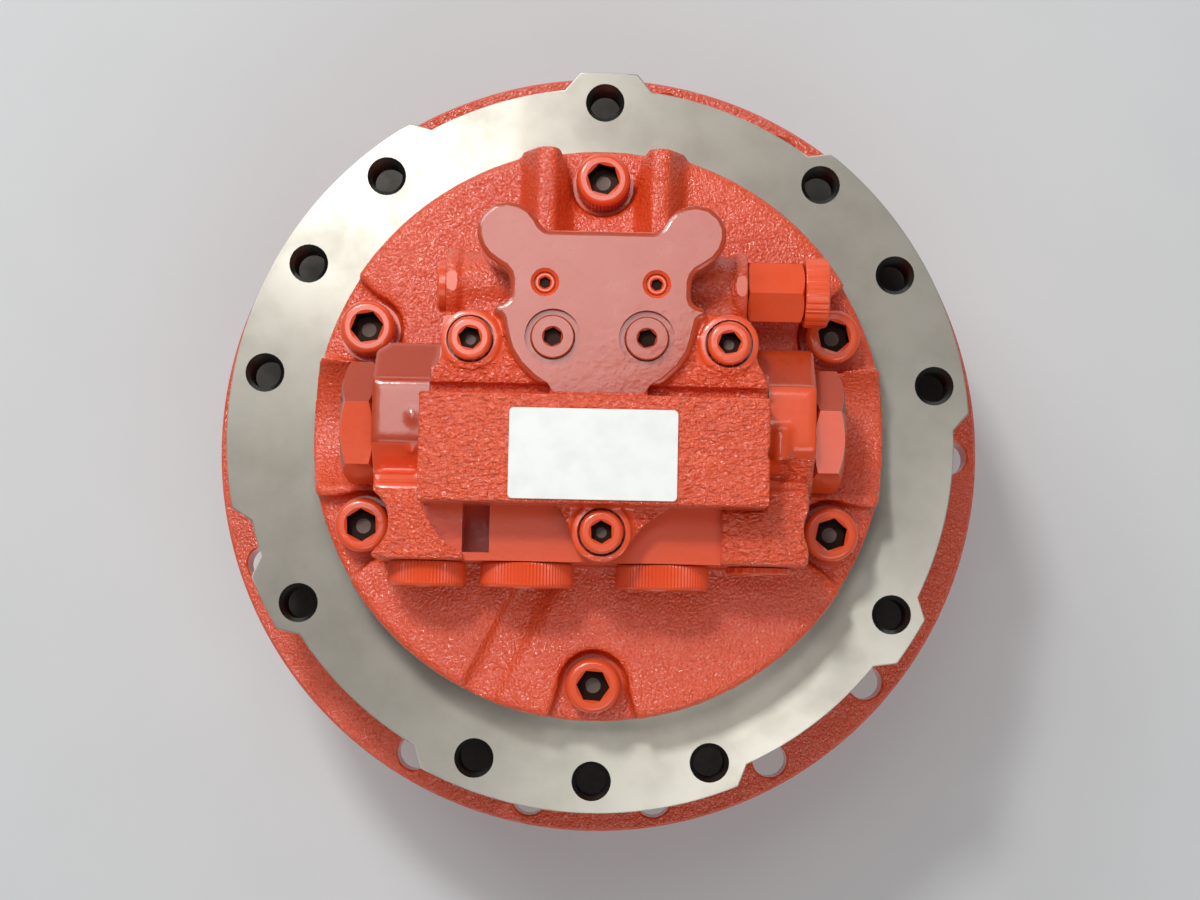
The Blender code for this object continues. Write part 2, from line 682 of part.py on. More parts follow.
def motor_case(carrier):
    """The fixed case: neck and bearing seats below, frame flange and pilot above."""
    case = turned(
        "motor_case",
        [
            (0, CASE_TOP_Z),
            (PILOT_RADIUS, CASE_TOP_Z),
            (PILOT_RADIUS, FRAME_BACK_Z + FRAME_FLANGE_THICKNESS / 2),
            (SKIRT_RADIUS, FRAME_BACK_Z + FRAME_FLANGE_THICKNESS / 2),
            (SKIRT_RADIUS, SKIRT_Z),
            (HUB_BORE, SKIRT_Z),
            (HUB_BORE, SEAL_ROOF_Z),
            (SHOULDER_RADIUS, SEAL_ROOF_Z),
            (SHOULDER_RADIUS, CASE_SHOULDER_Z),
            (NECK_RADIUS, CASE_SHOULDER_Z),
            (NECK_RADIUS, CASE_FACE_Z),
            (0, CASE_FACE_Z),
        ],
    )
    flange = plate("frame_flange_shape", frame_outline(), FRAME_BACK_Z, FRAME_FACE_Z)
    shaft_hole = SHAFT_RADIUS + SHAFT_ROOM
    bearing_seat = SHAFT_BEARING_OUTER + GAP
    bore = turned(
        "motor_bore",
        [
            (0, CASE_TOP_Z + OVERRUN),
            (BRAKE_BORE, CASE_TOP_Z + OVERRUN),
            (BRAKE_BORE, BRAKE_STEP_Z),
            (BRAKE_DISC_BORE, BRAKE_STEP_Z),
            (BRAKE_DISC_BORE, BRAKE_LEDGE_Z),
            (CAVITY_RADIUS, BRAKE_LEDGE_Z),
            (CAVITY_RADIUS, CAVITY_FLOOR_Z),
            (bearing_seat, CAVITY_FLOOR_Z),
            (bearing_seat, SHAFT_BEARING_Z),
            (shaft_hole, SHAFT_BEARING_Z),
            (shaft_hole, CASE_FACE_Z - OVERRUN),
            (0, CASE_FACE_Z - OVERRUN),
        ],
        MEDIUM_STEPS,
    )
    holes = []
    for angle in FRAME_HOLE_ANGLES:
        place = polar(FRAME_HOLE_CIRCLE, angle)
        base = (place.x, place.y, FRAME_BACK_Z - OVERRUN)
        holes.append(rod("frame_hole", FRAME_HOLE_RADIUS, base, FRAME_FLANGE_THICKNESS + 2 * OVERRUN))
    screw_bottom = SCREW_SEAT_Z - COVER_SCREW_LENGTH - COVER_SCREW_TIP_ROOM
    for place in cover_screw_places():
        base = (place.x, place.y, screw_bottom)
        holes.append(rod("case_thread", COVER_SCREW_RADIUS + GAP, base, CASE_TOP_Z + OVERRUN - screw_bottom))
    for direction in planet_directions(PLANET_2_START):
        place = polar(PIN_2_CIRCLE, direction)
        base = (place.x, place.y, CASE_FACE_Z - OVERRUN)
        holes.append(rod("pin_seat", PIN_2_RADIUS + GAP, base, PIN_2_SEAT + OVERRUN + GAP))
    join(case, flange)
    cut(case, bore, *holes)
    node(case, carrier, "turned_steel")


def cover_screw_places():
    return [polar(COVER_SCREW_CIRCLE, angle) for angle in COVER_SCREW_ANGLES]


def hub(carrier):
    """The turning hub: ring gear below, sprocket flange, and bearing bore above."""
    shell = turned(
        "hub",
        [
            (HUB_TOP_RADIUS, HUB_TOP_Z),
            (HUB_TOP_RADIUS, SPROCKET_TOP_Z),
            (SPROCKET_FLANGE_RADIUS, SPROCKET_TOP_Z),
            (SPROCKET_FLANGE_RADIUS, SPROCKET_BOTTOM_Z),
            (HUB_RADIUS, SPROCKET_BOTTOM_Z),
            (HUB_RADIUS, HUB_RIM_HEIGHT + HUB_RIM_CHAMFER),
            (HUB_RADIUS - HUB_RIM_CHAMFER, HUB_RIM_HEIGHT),
            (COVER_BORE, HUB_RIM_HEIGHT),
            (COVER_BORE, COVER_FLANGE_Z - SNAP_RING_WIDTH - 2 * GAP),
            (GROOVE_RADIUS, COVER_FLANGE_Z - SNAP_RING_WIDTH - 2 * GAP),
            (GROOVE_RADIUS, COVER_FLANGE_Z),
            (COVER_BORE, COVER_FLANGE_Z),
            (COVER_BORE, GEAR_SEAT_Z),
            (RING_TIP_RADIUS - OVERRUN, GEAR_SEAT_Z),
            (RING_TIP_RADIUS - OVERRUN, TEETH_TOP_Z),
            (RING_ROOT_RADIUS + HUB_RELIEF_DEPTH, TEETH_TOP_Z),
            (RING_ROOT_RADIUS + HUB_RELIEF_DEPTH, TEETH_TOP_Z + HUB_RELIEF),
            (HUB_SHOULDER_RADIUS, BEARING_1_Z - GAP - HUB_SHOULDER_THICKNESS),
            (HUB_SHOULDER_RADIUS, BEARING_1_Z - GAP),
            (HUB_BORE, BEARING_1_Z - GAP),
            (HUB_BORE, HUB_LEDGE_Z),
            (HUB_TOP_BORE, HUB_LEDGE_Z),
            (HUB_TOP_BORE, HUB_TOP_Z),
        ],
    )
    teeth_length = TEETH_TOP_Z + HUB_RELIEF / 2
    teeth = plate("ring_gear_space", gear_outline(RING_TEETH, True), GEAR_SEAT_Z - OVERRUN, teeth_length)
    holes = []
    for i in range(round(360 / SPROCKET_HOLE_PITCH)):
        angle = i * SPROCKET_HOLE_PITCH
        if any((angle - left_out) % 360 == 0 for left_out in SPROCKET_HOLES_LEFT_OUT):
            continue
        place = polar(SPROCKET_HOLE_CIRCLE, angle)
        base = (place.x, place.y, SPROCKET_BOTTOM_Z - OVERRUN)
        holes.append(rod("sprocket_hole", SPROCKET_HOLE_RADIUS, base, SPROCKET_FLANGE_THICKNESS + 2 * OVERRUN))
    cut(shell, teeth, *holes)
    node(shell, carrier, "red_enamel")


def end_cover(carrier):
    """The cover that closes the gears, its wire ring, its oil plugs and the thrust plate."""
    boss = COVER_RADIUS * COVER_BOSS_SHARE
    cover = turned(
        "end_cover",
        [
            (0, COVER_INNER_Z),
            (THRUST_BOSS_RADIUS, COVER_INNER_Z),
            (THRUST_BOSS_RADIUS, COVER_FLANGE_Z),
            (COVER_RADIUS * COVER_HOLLOW_SHARE, COVER_FLANGE_Z),
            (COVER_RADIUS * COVER_HOLLOW_SHARE, COVER_INNER_Z),
            (COVER_RADIUS, COVER_INNER_Z),
            (COVER_RADIUS, COVER_FLANGE_Z),
            (COVER_RADIUS - SNAP_RING_DEPTH, COVER_FLANGE_Z),
            (boss + COVER_BOSS_HEIGHT / 2, COVER_FLANGE_Z),
            (boss, COVER_BOSS_HEIGHT / 4),
            (boss * COVER_FOOT_SHARE, 0),
            (0, 0),
        ],
    )
    circle = COVER_RADIUS * OIL_PLUG_CIRCLE_SHARE
    for name, angle in OIL_PLUG_ANGLES.items():
        place = polar(circle, angle)
        head_top = OIL_PLUG_SINK + OIL_PLUG_HEAD
        plug = rod(name, OIL_PLUG_RADIUS, (place.x, place.y, OIL_PLUG_SINK), OIL_PLUG_HEAD)
        stem_base = (place.x, place.y, OIL_PLUG_SINK + OIL_PLUG_HEAD / 2)
        stem = rod("stem", OIL_PLUG_STEM_RADIUS, stem_base, COVER_FLANGE_Z - stem_base[2])
        socket = rod("socket", OIL_PLUG_SOCKET, (place.x, place.y, -OVERRUN), head_top + OVERRUN, steps=6)
        join(plug, stem)
        cut(plug, socket)
        node(plug, carrier, "black_steel")
        seat = rod(
            "seat", OIL_PLUG_RADIUS + GAP, (place.x, place.y, -OVERRUN), head_top + GAP + OVERRUN
        )
        hole_length = COVER_FLANGE_Z + 2 * OVERRUN
        hole = rod("hole", OIL_PLUG_STEM_RADIUS + GAP, (place.x, place.y, -OVERRUN), hole_length)
        cut(cover, seat, hole)
    node(cover, carrier, "red_enamel")

    ring_top = COVER_FLANGE_Z - GAP
    wire = ring(
        "cover_snap_ring",
        GROOVE_RADIUS - GAP - SNAP_RING_DEPTH,
        GROOVE_RADIUS - GAP,
        ring_top - SNAP_RING_WIDTH,
        ring_top,
    )
    node(wire, carrier, "black_steel")
    thrust = rod("thrust_plate", THRUST_BOSS_RADIUS, (0, 0, GEAR_SEAT_Z), THRUST_PLATE_THICKNESS)
    node(thrust, carrier, "bronze")


def main_bearings(carrier, hub_carrier):
    """Two bearings and their nut on the case's neck, and the floating seal's two rings."""
    for name, bottom in (("main_bearing_lower", BEARING_1_Z), ("main_bearing_upper", BEARING_2_Z)):
        node(ring(name, BEARING_INNER, BEARING_OUTER, bottom, bottom + BEARING_WIDTH), carrier, "bearing_steel")
    nut_outer = HUB_SHOULDER_RADIUS - NUT_ROOM
    node(ring("bearing_nut", BEARING_INNER, nut_outer, NUT_Z, NUT_Z + NUT_WIDTH), carrier, "black_steel")
    seal_inner = SHOULDER_RADIUS + GAP
    hub_seal_inner = bore_round(SHOULDER_RADIUS, LARGE_STEPS)
    lower_top = CASE_SHOULDER_Z + SEAL_RING_WIDTH
    lower = ring("floating_seal_hub_ring", hub_seal_inner, BEARING_OUTER, CASE_SHOULDER_Z, lower_top)
    node(lower, hub_carrier, "ground_steel")
    upper = ring("floating_seal_case_ring", seal_inner, BEARING_OUTER, SEAL_2_Z, SEAL_2_Z + SEAL_RING_WIDTH)
    node(upper, carrier, "ground_steel")


def planet(name, teeth, width, pin_radius, phase, bottom, carrier):
    gear = plate(name, gear_outline(teeth, phase=phase), bottom, bottom + width)
    bore_radius = bore_round(pin_radius, SMALL_STEPS)
    bore = rod("planet_bore", bore_radius, (0, 0, bottom - OVERRUN), width + 2 * OVERRUN)
    cut(gear, bore)
    node(gear, carrier, "gear_steel")


def first_stage(shaft_body, carrier_body, planet_bodies):
    """The sun on the motor's stem, its planets, and the carrier with its three pins."""
    sun = plate(
        "sun_gear_1",
        gear_outline(SUN_1_TEETH, phase=sun_phase(PLANET_1_START, PLANET_1_TEETH, SUN_1_TEETH)),
        SUN_1_Z,
        PLANET_1_TOP_Z,
    )
    stem_top = CASE_FACE_Z + SHAFT_SOCKET_DEPTH - GAP
    stem_bottom = PLANET_1_Z + PLANET_1_WIDTH / 2
    join(sun, rod("sun_stem", SUN_1_STEM_RADIUS, (0, 0, stem_bottom), stem_top - stem_bottom))
    node(sun, shaft_body, "gear_steel")

    plate_shape = rod("carrier_1", CARRIER_RADIUS, (0, 0, CARRIER_Z), CARRIER_THICKNESS, steps=LARGE_STEPS)
    pin_length = CARRIER_Z + CARRIER_THICKNESS / 2 - PLANET_1_Z
    pins = []
    for i, direction in enumerate(planet_directions(PLANET_1_START)):
        place = polar(PIN_1_CIRCLE, direction)
        pins.append(rod("carrier_pin", PIN_1_RADIUS, (place.x, place.y, PLANET_1_Z), pin_length))
        phase = planet_phase(direction, PLANET_1_TEETH)
        name = f"planet_1_{'abc'[i]}"
        planet(name, PLANET_1_TEETH, PLANET_1_WIDTH, PIN_1_RADIUS, phase, PLANET_1_Z, planet_bodies[i])
    socket = rod(
        "carrier_bore", SUN_2_SPIGOT + GAP, (0, 0, CARRIER_Z - OVERRUN), CARRIER_THICKNESS + 2 * OVERRUN
    )
    join(plate_shape, *pins)
    cut(plate_shape, socket)
    node(plate_shape, carrier_body, "gear_steel")


def second_stage(case_body, carrier_body, planet_bodies):
    """The sun on the first carrier, and the planets that turn on pins in the case."""
    sun = plate(
        "sun_gear_2",
        gear_outline(SUN_2_TEETH, phase=sun_phase(PLANET_2_START, PLANET_2_TEETH, SUN_2_TEETH)),
        PLANET_2_Z,
        PLANET_2_TOP_Z,
    )
    spigot_length = PLANET_2_Z + PLANET_2_WIDTH / 2 - CARRIER_Z
    join(sun, rod("sun_spigot", SUN_2_SPIGOT, (0, 0, CARRIER_Z), spigot_length))
    bore_length = PLANET_2_TOP_Z - CARRIER_Z + 2 * OVERRUN
    cut(sun, rod("sun_bore", SUN_2_BORE, (0, 0, CARRIER_Z - OVERRUN), bore_length))
    node(sun, carrier_body, "gear_steel")
    for i, direction in enumerate(planet_directions(PLANET_2_START)):
        phase = planet_phase(direction, PLANET_2_TEETH)
        name = f"planet_2_{'abc'[i]}"
        planet(name, PLANET_2_TEETH, PLANET_2_WIDTH, PIN_2_RADIUS, phase, PLANET_2_Z, planet_bodies[i])
        place = polar(PIN_2_CIRCLE, direction)
        pin_name = f"planet_pin_2_{'abc'[i]}"
        pin = rod(pin_name, PIN_2_RADIUS, (place.x, place.y, PIN_2_Z), CASE_FACE_Z + PIN_2_SEAT - PIN_2_Z)
        node(pin, case_body, "ground_steel")


def motor_shaft(shaft_body, case_body):
    """The shaft with its socket for the sun's stem, and a bearing at each end."""
    shaft_step = REAR_COVER_Z + GAP
    shaft_top = shaft_step + SHAFT_END_LENGTH
    socket = SUN_1_STEM_RADIUS + GAP
    shaft = turned(
        "motor_shaft",
        [
            (0, shaft_top),
            (SHAFT_END_RADIUS, shaft_top),
            (SHAFT_END_RADIUS, shaft_step),
            (SHAFT_RADIUS, shaft_step),
            (SHAFT_RADIUS, CASE_FACE_Z + GAP),
            (socket, CASE_FACE_Z + GAP),
            (socket, CASE_FACE_Z + SHAFT_SOCKET_DEPTH),
            (0, CASE_FACE_Z + SHAFT_SOCKET_DEPTH),
        ],
        MEDIUM_STEPS,
    )
    node(shaft, shaft_body, "ground_steel")
    bottom = SHAFT_BEARING_Z + GAP
    lower = ring(
        "shaft_bearing_lower",
        SHAFT_BEARING_INNER,
        SHAFT_BEARING_OUTER,
        bottom,
        bottom + SHAFT_BEARING_WIDTH,
        MEDIUM_STEPS,
    )
    node(lower, case_body, "bearing_steel")
    upper = ring(
        "shaft_bearing_upper",
        END_BEARING_INNER,
        END_BEARING_OUTER,
        shaft_step,
        shaft_step + END_BEARING_WIDTH,
        MEDIUM_STEPS,
    )
    node(upper, case_body, "bearing_steel")


def piston_places():
    return [polar(PISTON_CIRCLE, 360 * i / PISTON_COUNT) for i in range(PISTON_COUNT)]


def cylinder_block(shaft_body):
    """The cylinder block, and the pistons on the plate that holds their slippers."""
    block = ring("cylinder_block", SHAFT_RADIUS + GAP, BARREL_RADIUS, BARREL_Z, BARREL_TOP_Z, MEDIUM_STEPS)
    retainer_inner = SHAFT_RADIUS + RETAINER_INNER_ROOM
    retainer_outer = PISTON_CIRCLE + PISTON_RADIUS + RETAINER_RIM
    retainer = ring("piston_set", retainer_inner, retainer_outer, RETAINER_Z, RETAINER_TOP_Z, MEDIUM_STEPS)
    bores, pistons = [], []
    piston_bottom = RETAINER_Z + RETAINER_THICKNESS / 2
    for place in piston_places():
        bore_base = (place.x, place.y, BARREL_Z - OVERRUN)
        bores.append(rod("piston_bore", PISTON_RADIUS + GAP, bore_base, PISTON_BORE_DEPTH + OVERRUN))
        piston_base = (place.x, place.y, piston_bottom)
        pistons.append(rod("piston", PISTON_RADIUS, piston_base, BARREL_Z + PISTON_REACH - piston_bottom))
    cut(block, *bores)
    join(retainer, *pistons)
    node(block, shaft_body, "ground_steel")
    node(retainer, shaft_body, "ground_steel")


def valve_plate(case_body):
    """The port plate under the rear cover, with a kidney port on each side."""
    bottom = BARREL_TOP_Z + GAP
    top = bottom + VALVE_PLATE_THICKNESS - GAP
    disc = ring("valve_plate", SHAFT_RADIUS + RUNNING, VALVE_PLATE_RADIUS, bottom, top, MEDIUM_STEPS)
    inner, outer = PISTON_CIRCLE - VALVE_PORT_WIDTH / 2, PISTON_CIRCLE + VALVE_PORT_WIDTH / 2
    turns = [VALVE_PORT_SPAN * share for share in VALVE_PORT_SHARES]
    for side in (0, 180):
        outline = [polar(outer, side + turn) for turn in turns]
        outline += [polar(inner, side + turn) for turn in reversed(turns)]
        cut(disc, plate("kidney_port", outline, bottom - OVERRUN, top + OVERRUN))
    node(disc, case_body, "bronze")


def swash_plate(swash_body):
    """The tilting plate, a disc cut by its running face above and its two seats below."""
    height = RETAINER_Z - CAVITY_FLOOR_Z
    rise = SWASH_RADIUS * math.tan(math.radians(SWASH_TILT))
    centre = height - rise - SWASH_CLEARANCE
    shape = bmesh.new()
    bmesh.ops.create_cone(
        shape,
        cap_ends=True,
        segments=MEDIUM_STEPS,
        radius1=SWASH_RADIUS,
        radius2=SWASH_RADIUS,
        depth=2 * height,
    )
    tilt = math.radians(SWASH_TILT)
    relief = math.radians(SWASH_SWING + SWASH_SEAT_SLACK)
    planes = (
        (Vector((0, 0, centre)), Vector((0, -math.sin(tilt), math.cos(tilt)))),
        (Vector((0, 0, GAP)), Vector((0, 0, -1))),
        (Vector((0, 0, GAP)), Vector((0, math.sin(relief), -math.cos(relief)))),
    )
    for point, outward in planes:
        everything = list(shape.verts) + list(shape.edges) + list(shape.faces)
        bmesh.ops.bisect_plane(shape, geom=everything, plane_co=point, plane_no=outward, clear_outer=True)
        bmesh.ops.holes_fill(shape, edges=[edge for edge in shape.edges if edge.is_boundary])
    bmesh.ops.recalc_face_normals(shape, faces=shape.faces)
    disc = from_bmesh("swash_plate", shape)
    cut(disc, rod("swash_bore", SHAFT_RADIUS + SWASH_BORE_ROOM, (0, 0, -height), 2 * height))
    node(disc, swash_body, "ground_steel")


def parking_brake(shaft_body, piston_body):
    """The lined disc on the cylinder block, and the spring-loaded piston that grips it."""
    disc_bottom = BRAKE_LEDGE_Z + GAP
    disc_top = disc_bottom + BRAKE_DISC_THICKNESS
    disc_inner = BARREL_RADIUS + GAP
    disc = ring("brake_disc", disc_inner, BRAKE_DISC_OUTER, disc_bottom, disc_top, MEDIUM_STEPS)
    node(disc, shaft_body, "friction_lining")
    inner = BARREL_RADIUS + BRAKE_PISTON_ROOM
    foot = disc_top + GAP
    step = BRAKE_STEP_Z + BRAKE_PISTON_LIFT
    piston = turned(
        "brake_piston",
        [
            (BRAKE_BORE - GAP, step + BRAKE_PISTON_LENGTH),
            (BRAKE_BORE - GAP, step),
            (BRAKE_DISC_OUTER, step),
            (BRAKE_DISC_OUTER, foot),
            (inner, foot),
            (inner, step + BRAKE_PISTON_LENGTH),
        ],
        MEDIUM_STEPS,
    )
    node(piston, piston_body, "ground_steel")


def ear_points(side):
    """One ear of the valve block's plate, from its waist round to the bridge between the ears."""
    turns = range(-60, 151, EAR_STEP)
    points = [Vector((EAR_SPREAD, EAR_BACK)) + polar(EAR_RADIUS, turn) for turn in turns]
    points.append(Vector((EAR_SPREAD - EAR_FOOT, BRIDGE_BACK)))
    if side < 0:
        points = [Vector((-x, y)) for x, y in reversed(points)]
    return points


def neck_outline():
    """The machined plate's back half: waist and ear on the right, then on the left."""
    right = [(SHOULDER_RIGHT, SHOULDER_BACK), (WAIST, SHOULDER_BACK), (WAIST, WAIST_BACK)]
    left = [(-WAIST, WAIST_BACK), (-WAIST, SHOULDER_BACK), (-SHOULDER_LEFT, SHOULDER_BACK)]
    return right + ear_points(1) + ear_points(-1) + left


def port_body_outline():
    front = [
        (-BODY_LEFT, -BODY_FRONT),
        (BODY_RIGHT, -BODY_FRONT),
        (BODY_RIGHT, -BODY_STEP),
        (BLOCK_RIGHT + BODY_SIDE, -BODY_STEP),
        (BLOCK_RIGHT + BODY_SIDE, BLOCK_BACK),
        (SHOULDER_RIGHT, BODY_STEP),
    ]
    back = [
        (-SHOULDER_LEFT, BODY_STEP),
        (-BLOCK_LEFT - BODY_SIDE, BLOCK_BACK),
        (-BLOCK_LEFT - BODY_SIDE, -BODY_STEP),
        (-BODY_LEFT, -BODY_STEP),
    ]
    return front + neck_outline() + back


def collar_octagon(name, start, length):
    """A collar of the spool bore: an octagon on its flat, from start along X."""
    corner = COLLAR_HALF * math.tan(math.pi / 8)
    outline = [(COLLAR_HALF, -corner), (COLLAR_HALF, corner), (corner, COLLAR_HALF), (-corner, COLLAR_HALF)]
    outline += [(-z, -y) for z, y in outline]
    collar = plate(name, outline, 0, length)
    laid = Matrix.Translation((start, COLLAR_BACK, SPOOL_Z)) @ Matrix.Rotation(math.pi / 2, 4, "Y")
    collar.matrix_world = laid @ collar.matrix_world
    return collar


def rear_cover_shape():
    """The cover disc with the port body, collars, bosses and ribs that are cast on it."""
    disc = turned(
        "rear_cover",
        [
            (0, REAR_COVER_TOP_Z),
            (REAR_COVER_RADIUS - REAR_COVER_CHAMFER, REAR_COVER_TOP_Z),
            (REAR_COVER_RADIUS, REAR_COVER_TOP_Z - REAR_COVER_CHAMFER),
            (REAR_COVER_RADIUS, REAR_COVER_Z),
            (0, REAR_COVER_Z),
        ],
    )
    root = REAR_COVER_TOP_Z - REAR_COVER_THICKNESS / 2
    added = [plate("port_body", port_body_outline(), root, BODY_TOP_Z)]
    pad_bottom = BODY_TOP_Z - BODY_HEIGHT / 2
    pad_top = BODY_TOP_Z + PAD_HEIGHT
    left_pad = box(
        "left_pad", (-BODY_LEFT, -BODY_FRONT, pad_bottom), (PAD_WIDTH - BODY_LEFT, -PAD_BACK, pad_top)
    )
    right_pad = box(
        "right_pad", (BLOCK_RIGHT - OVERRUN, -BODY_FRONT, pad_bottom), (BODY_RIGHT, -PAD_BACK, pad_top)
    )
    added += [left_pad, right_pad]
    for side, reach, edge in ((-1, COLLAR_LEFT, BLOCK_LEFT), (1, COLLAR_RIGHT, BLOCK_RIGHT)):
        collar_base = (side * reach, 0, SPOOL_Z)
        inward = X_AXIS * -side
        length = reach - edge - GAP
        start = -reach if side < 0 else reach - length
        added.append(collar_octagon("collar", start, length))
        added.append(rod("collar_core", COLLAR_CORE_RADIUS, collar_base, reach - edge / 2, inward))
    pilot_length = PILOT_BOSS_LEFT + PILOT_BOSS_RIGHT
    pilot_start = (-PILOT_BOSS_LEFT, PILOT_BACK, PILOT_Z)
    added.append(rod("pilot_boss", PILOT_BOSS_RADIUS, pilot_start, pilot_length, X_AXIS))
    half = PILOT_BOSS_RADIUS * PILOT_FOOT_SHARE
    foot_low = (OVERRUN - PILOT_BOSS_LEFT, SHOULDER_BACK - OVERRUN, root)
    foot_high = (PILOT_BOSS_RIGHT - OVERRUN, PILOT_BACK + half, PILOT_Z)
    added.append(box("pilot_foot", foot_low, foot_high))
    for x in (-RIB_LEFT, RIB_RIGHT):
        start = (x, REAR_COVER_RADIUS * RIB_START_SHARE)
        end = (x, REAR_COVER_RADIUS * RIB_END_SHARE)
        added.append(bar("rib", start, end, RIB_WIDTH, root, REAR_COVER_TOP_Z + RIB_HEIGHT))
    return join(disc, *added)


def rear_cover_cutters():
    """Screw pockets, the cast channel, the troughs under the spool caps, and the bores in the port body."""
    made = []
    high = PLATE_TOP_Z + OVERRUN
    pocket = COVER_SCREW_HEAD_RADIUS + COVER_POCKET_ROOM
    hole_length = REAR_COVER_THICKNESS + 2 * OVERRUN
    for angle in COVER_SCREW_ANGLES:
        place = polar(COVER_SCREW_CIRCLE, angle)
        base = (place.x, place.y, SCREW_SEAT_Z)
        made.append(rod("pocket", pocket, base, high - SCREW_SEAT_Z, steps=MEDIUM_STEPS))
        rim = polar(REAR_COVER_RADIUS + OVERRUN, angle)
        made.append(bar("pocket_mouth", place, rim, 2 * pocket, SCREW_SEAT_Z, high))
        hole_base = (place.x, place.y, REAR_COVER_Z - OVERRUN)
        made.append(rod("cover_hole", COVER_SCREW_RADIUS + GAP, hole_base, hole_length))
    start = [REAR_COVER_RADIUS * share for share in CHANNEL_START_SHARE]
    end = [REAR_COVER_RADIUS * share for share in CHANNEL_END_SHARE]
    channel_floor = REAR_COVER_TOP_Z - CHANNEL_DEPTH
    made.append(bar("channel", start, end, CHANNEL_WIDTH, channel_floor, channel_floor + OVERRUN))
    trough_half = SPOOL_CAP_RADIUS + TROUGH_ROOM
    trough_bottom = REAR_COVER_TOP_Z - TROUGH_DEPTH
    far = REAR_COVER_RADIUS + OVERRUN
    made.append(box("left_trough", (-far, -trough_half, trough_bottom), (-COLLAR_LEFT, trough_half, high)))
    made.append(box("right_trough", (COLLAR_RIGHT, -trough_half, trough_bottom), (far, trough_half, high)))
    slot_end = (SLOT_WIDTH - SLOT_LEFT, -BLOCK_FRONT, high)
    slot_base = (-SLOT_LEFT, -BODY_FRONT + SLOT_FRONT_WALL, BODY_TOP_Z - SLOT_DEPTH)
    made.append(box("slot", slot_base, slot_end))
    length = COLLAR_LEFT + COLLAR_RIGHT + 2 * OVERRUN
    made.append(rod("spool_bore", SPOOL_RADIUS + GAP, (-COLLAR_LEFT - OVERRUN, 0, SPOOL_Z), length, X_AXIS))
    for side, reach in ((-1, COLLAR_LEFT), (1, COLLAR_RIGHT)):
        base = (side * (reach + OVERRUN), 0, SPOOL_Z)
        depth = SPOOL_CAP_STEM_LENGTH + GAP + OVERRUN
        made.append(rod("cap_seat", SPOOL_CAP_STEM_RADIUS + GAP, base, depth, X_AXIS * -side, MEDIUM_STEPS))
    for side, reach in ((-1, PILOT_BOSS_LEFT), (1, PILOT_BOSS_RIGHT)):
        base = (side * (reach + OVERRUN), PILOT_BACK, PILOT_Z)
        depth = PILOT_STEM_LENGTH + GAP + OVERRUN
        made.append(rod("pilot_seat", PILOT_STEM_RADIUS + GAP, base, depth, X_AXIS * -side))
    for x, radius in PORT_CAPS.values():
        base = (x, -BODY_FRONT - OVERRUN, PORT_Z)
        depth = PORT_CAP_STEM_LENGTH + GAP + OVERRUN
        made.append(rod("port", radius - PORT_CAP_LIP + GAP, base, depth, Y_AXIS))
    for x, y in BLOCK_SCREW_PLACES:
        bottom = BLOCK_SCREW_SEAT_Z - BLOCK_SCREW_LENGTH - BLOCK_SCREW_TIP_ROOM
        made.append(rod("block_thread", BLOCK_SCREW_RADIUS + GAP, (x, y, bottom), high - bottom))
    bearing_base = (0, 0, REAR_COVER_Z - OVERRUN)
    bearing_depth = SHAFT_END_LENGTH + 2 * GAP + RUNNING + OVERRUN
    made.append(rod("bearing_seat", END_BEARING_OUTER + GAP, bearing_base, bearing_depth, steps=MEDIUM_STEPS))
    return made


def socket_screw(name, place, seat, radius, head_radius, head_height, length, socket, carrier):
    """A socket head cap screw, head up, with its hexagon socket."""
    x, y = place
    screw = rod(name, head_radius, (x, y, seat + GAP), head_height - GAP, steps=2 * SMALL_STEPS)
    stem_length = length + head_height / 2
    stem = rod("screw_stem", radius, (x, y, seat - length), stem_length)
    join(screw, stem)
    recess = rod("screw_socket", socket, (x, y, seat + head_height / 2), head_height, steps=6)
    cut(screw, recess)
    node(screw, carrier, "red_enamel")


def rear_cover(case_body):
    cover = rear_cover_shape()
    cut(cover, *rear_cover_cutters())
    node(cover, case_body, "red_enamel")
    for i, place in enumerate(cover_screw_places()):
        socket_screw(
            f"cover_screw_{i + 1}",
            place,
            SCREW_SEAT_Z,
            COVER_SCREW_RADIUS,
            COVER_SCREW_HEAD_RADIUS,
            COVER_SCREW_HEAD_HEIGHT,
            COVER_SCREW_LENGTH,
            COVER_SCREW_SOCKET,
            case_body,
        )


def plate_outline():
    """The machined plate: the neck and ears, and a front edge that narrows between the screw bosses."""
    front = [(-BLOCK_SCREW_SPREAD / 2, BLOCK_BACK - OVERRUN), (BLOCK_SCREW_SPREAD / 2, BLOCK_BACK - OVERRUN)]
    sides = [(WAIST, BLOCK_SCREW_BACK), (BLOCK_SCREW_SPREAD, SHOULDER_BACK)]
    others = [(-BLOCK_SCREW_SPREAD, SHOULDER_BACK), (-WAIST, BLOCK_SCREW_BACK)]
    return front + sides + neck_outline()[1:-1] + others


def gusset_outline(side, edge):
    inner = side * WAIST / 2
    outer = side * (edge - BODY_SIDE)
    middle = side * BLOCK_SCREW_SPREAD
    reach = side * BLOCK_SCREW_HEAD_RADIUS
    points = [
        (inner, BLOCK_BACK - OVERRUN),
        (outer, BLOCK_BACK - OVERRUN),
        (outer, BLOCK_BACK + OVERRUN),
        (middle + reach, BLOCK_SCREW_BACK),
        (middle - reach, BLOCK_SCREW_BACK),
    ]
    return points if side > 0 else points[::-1]


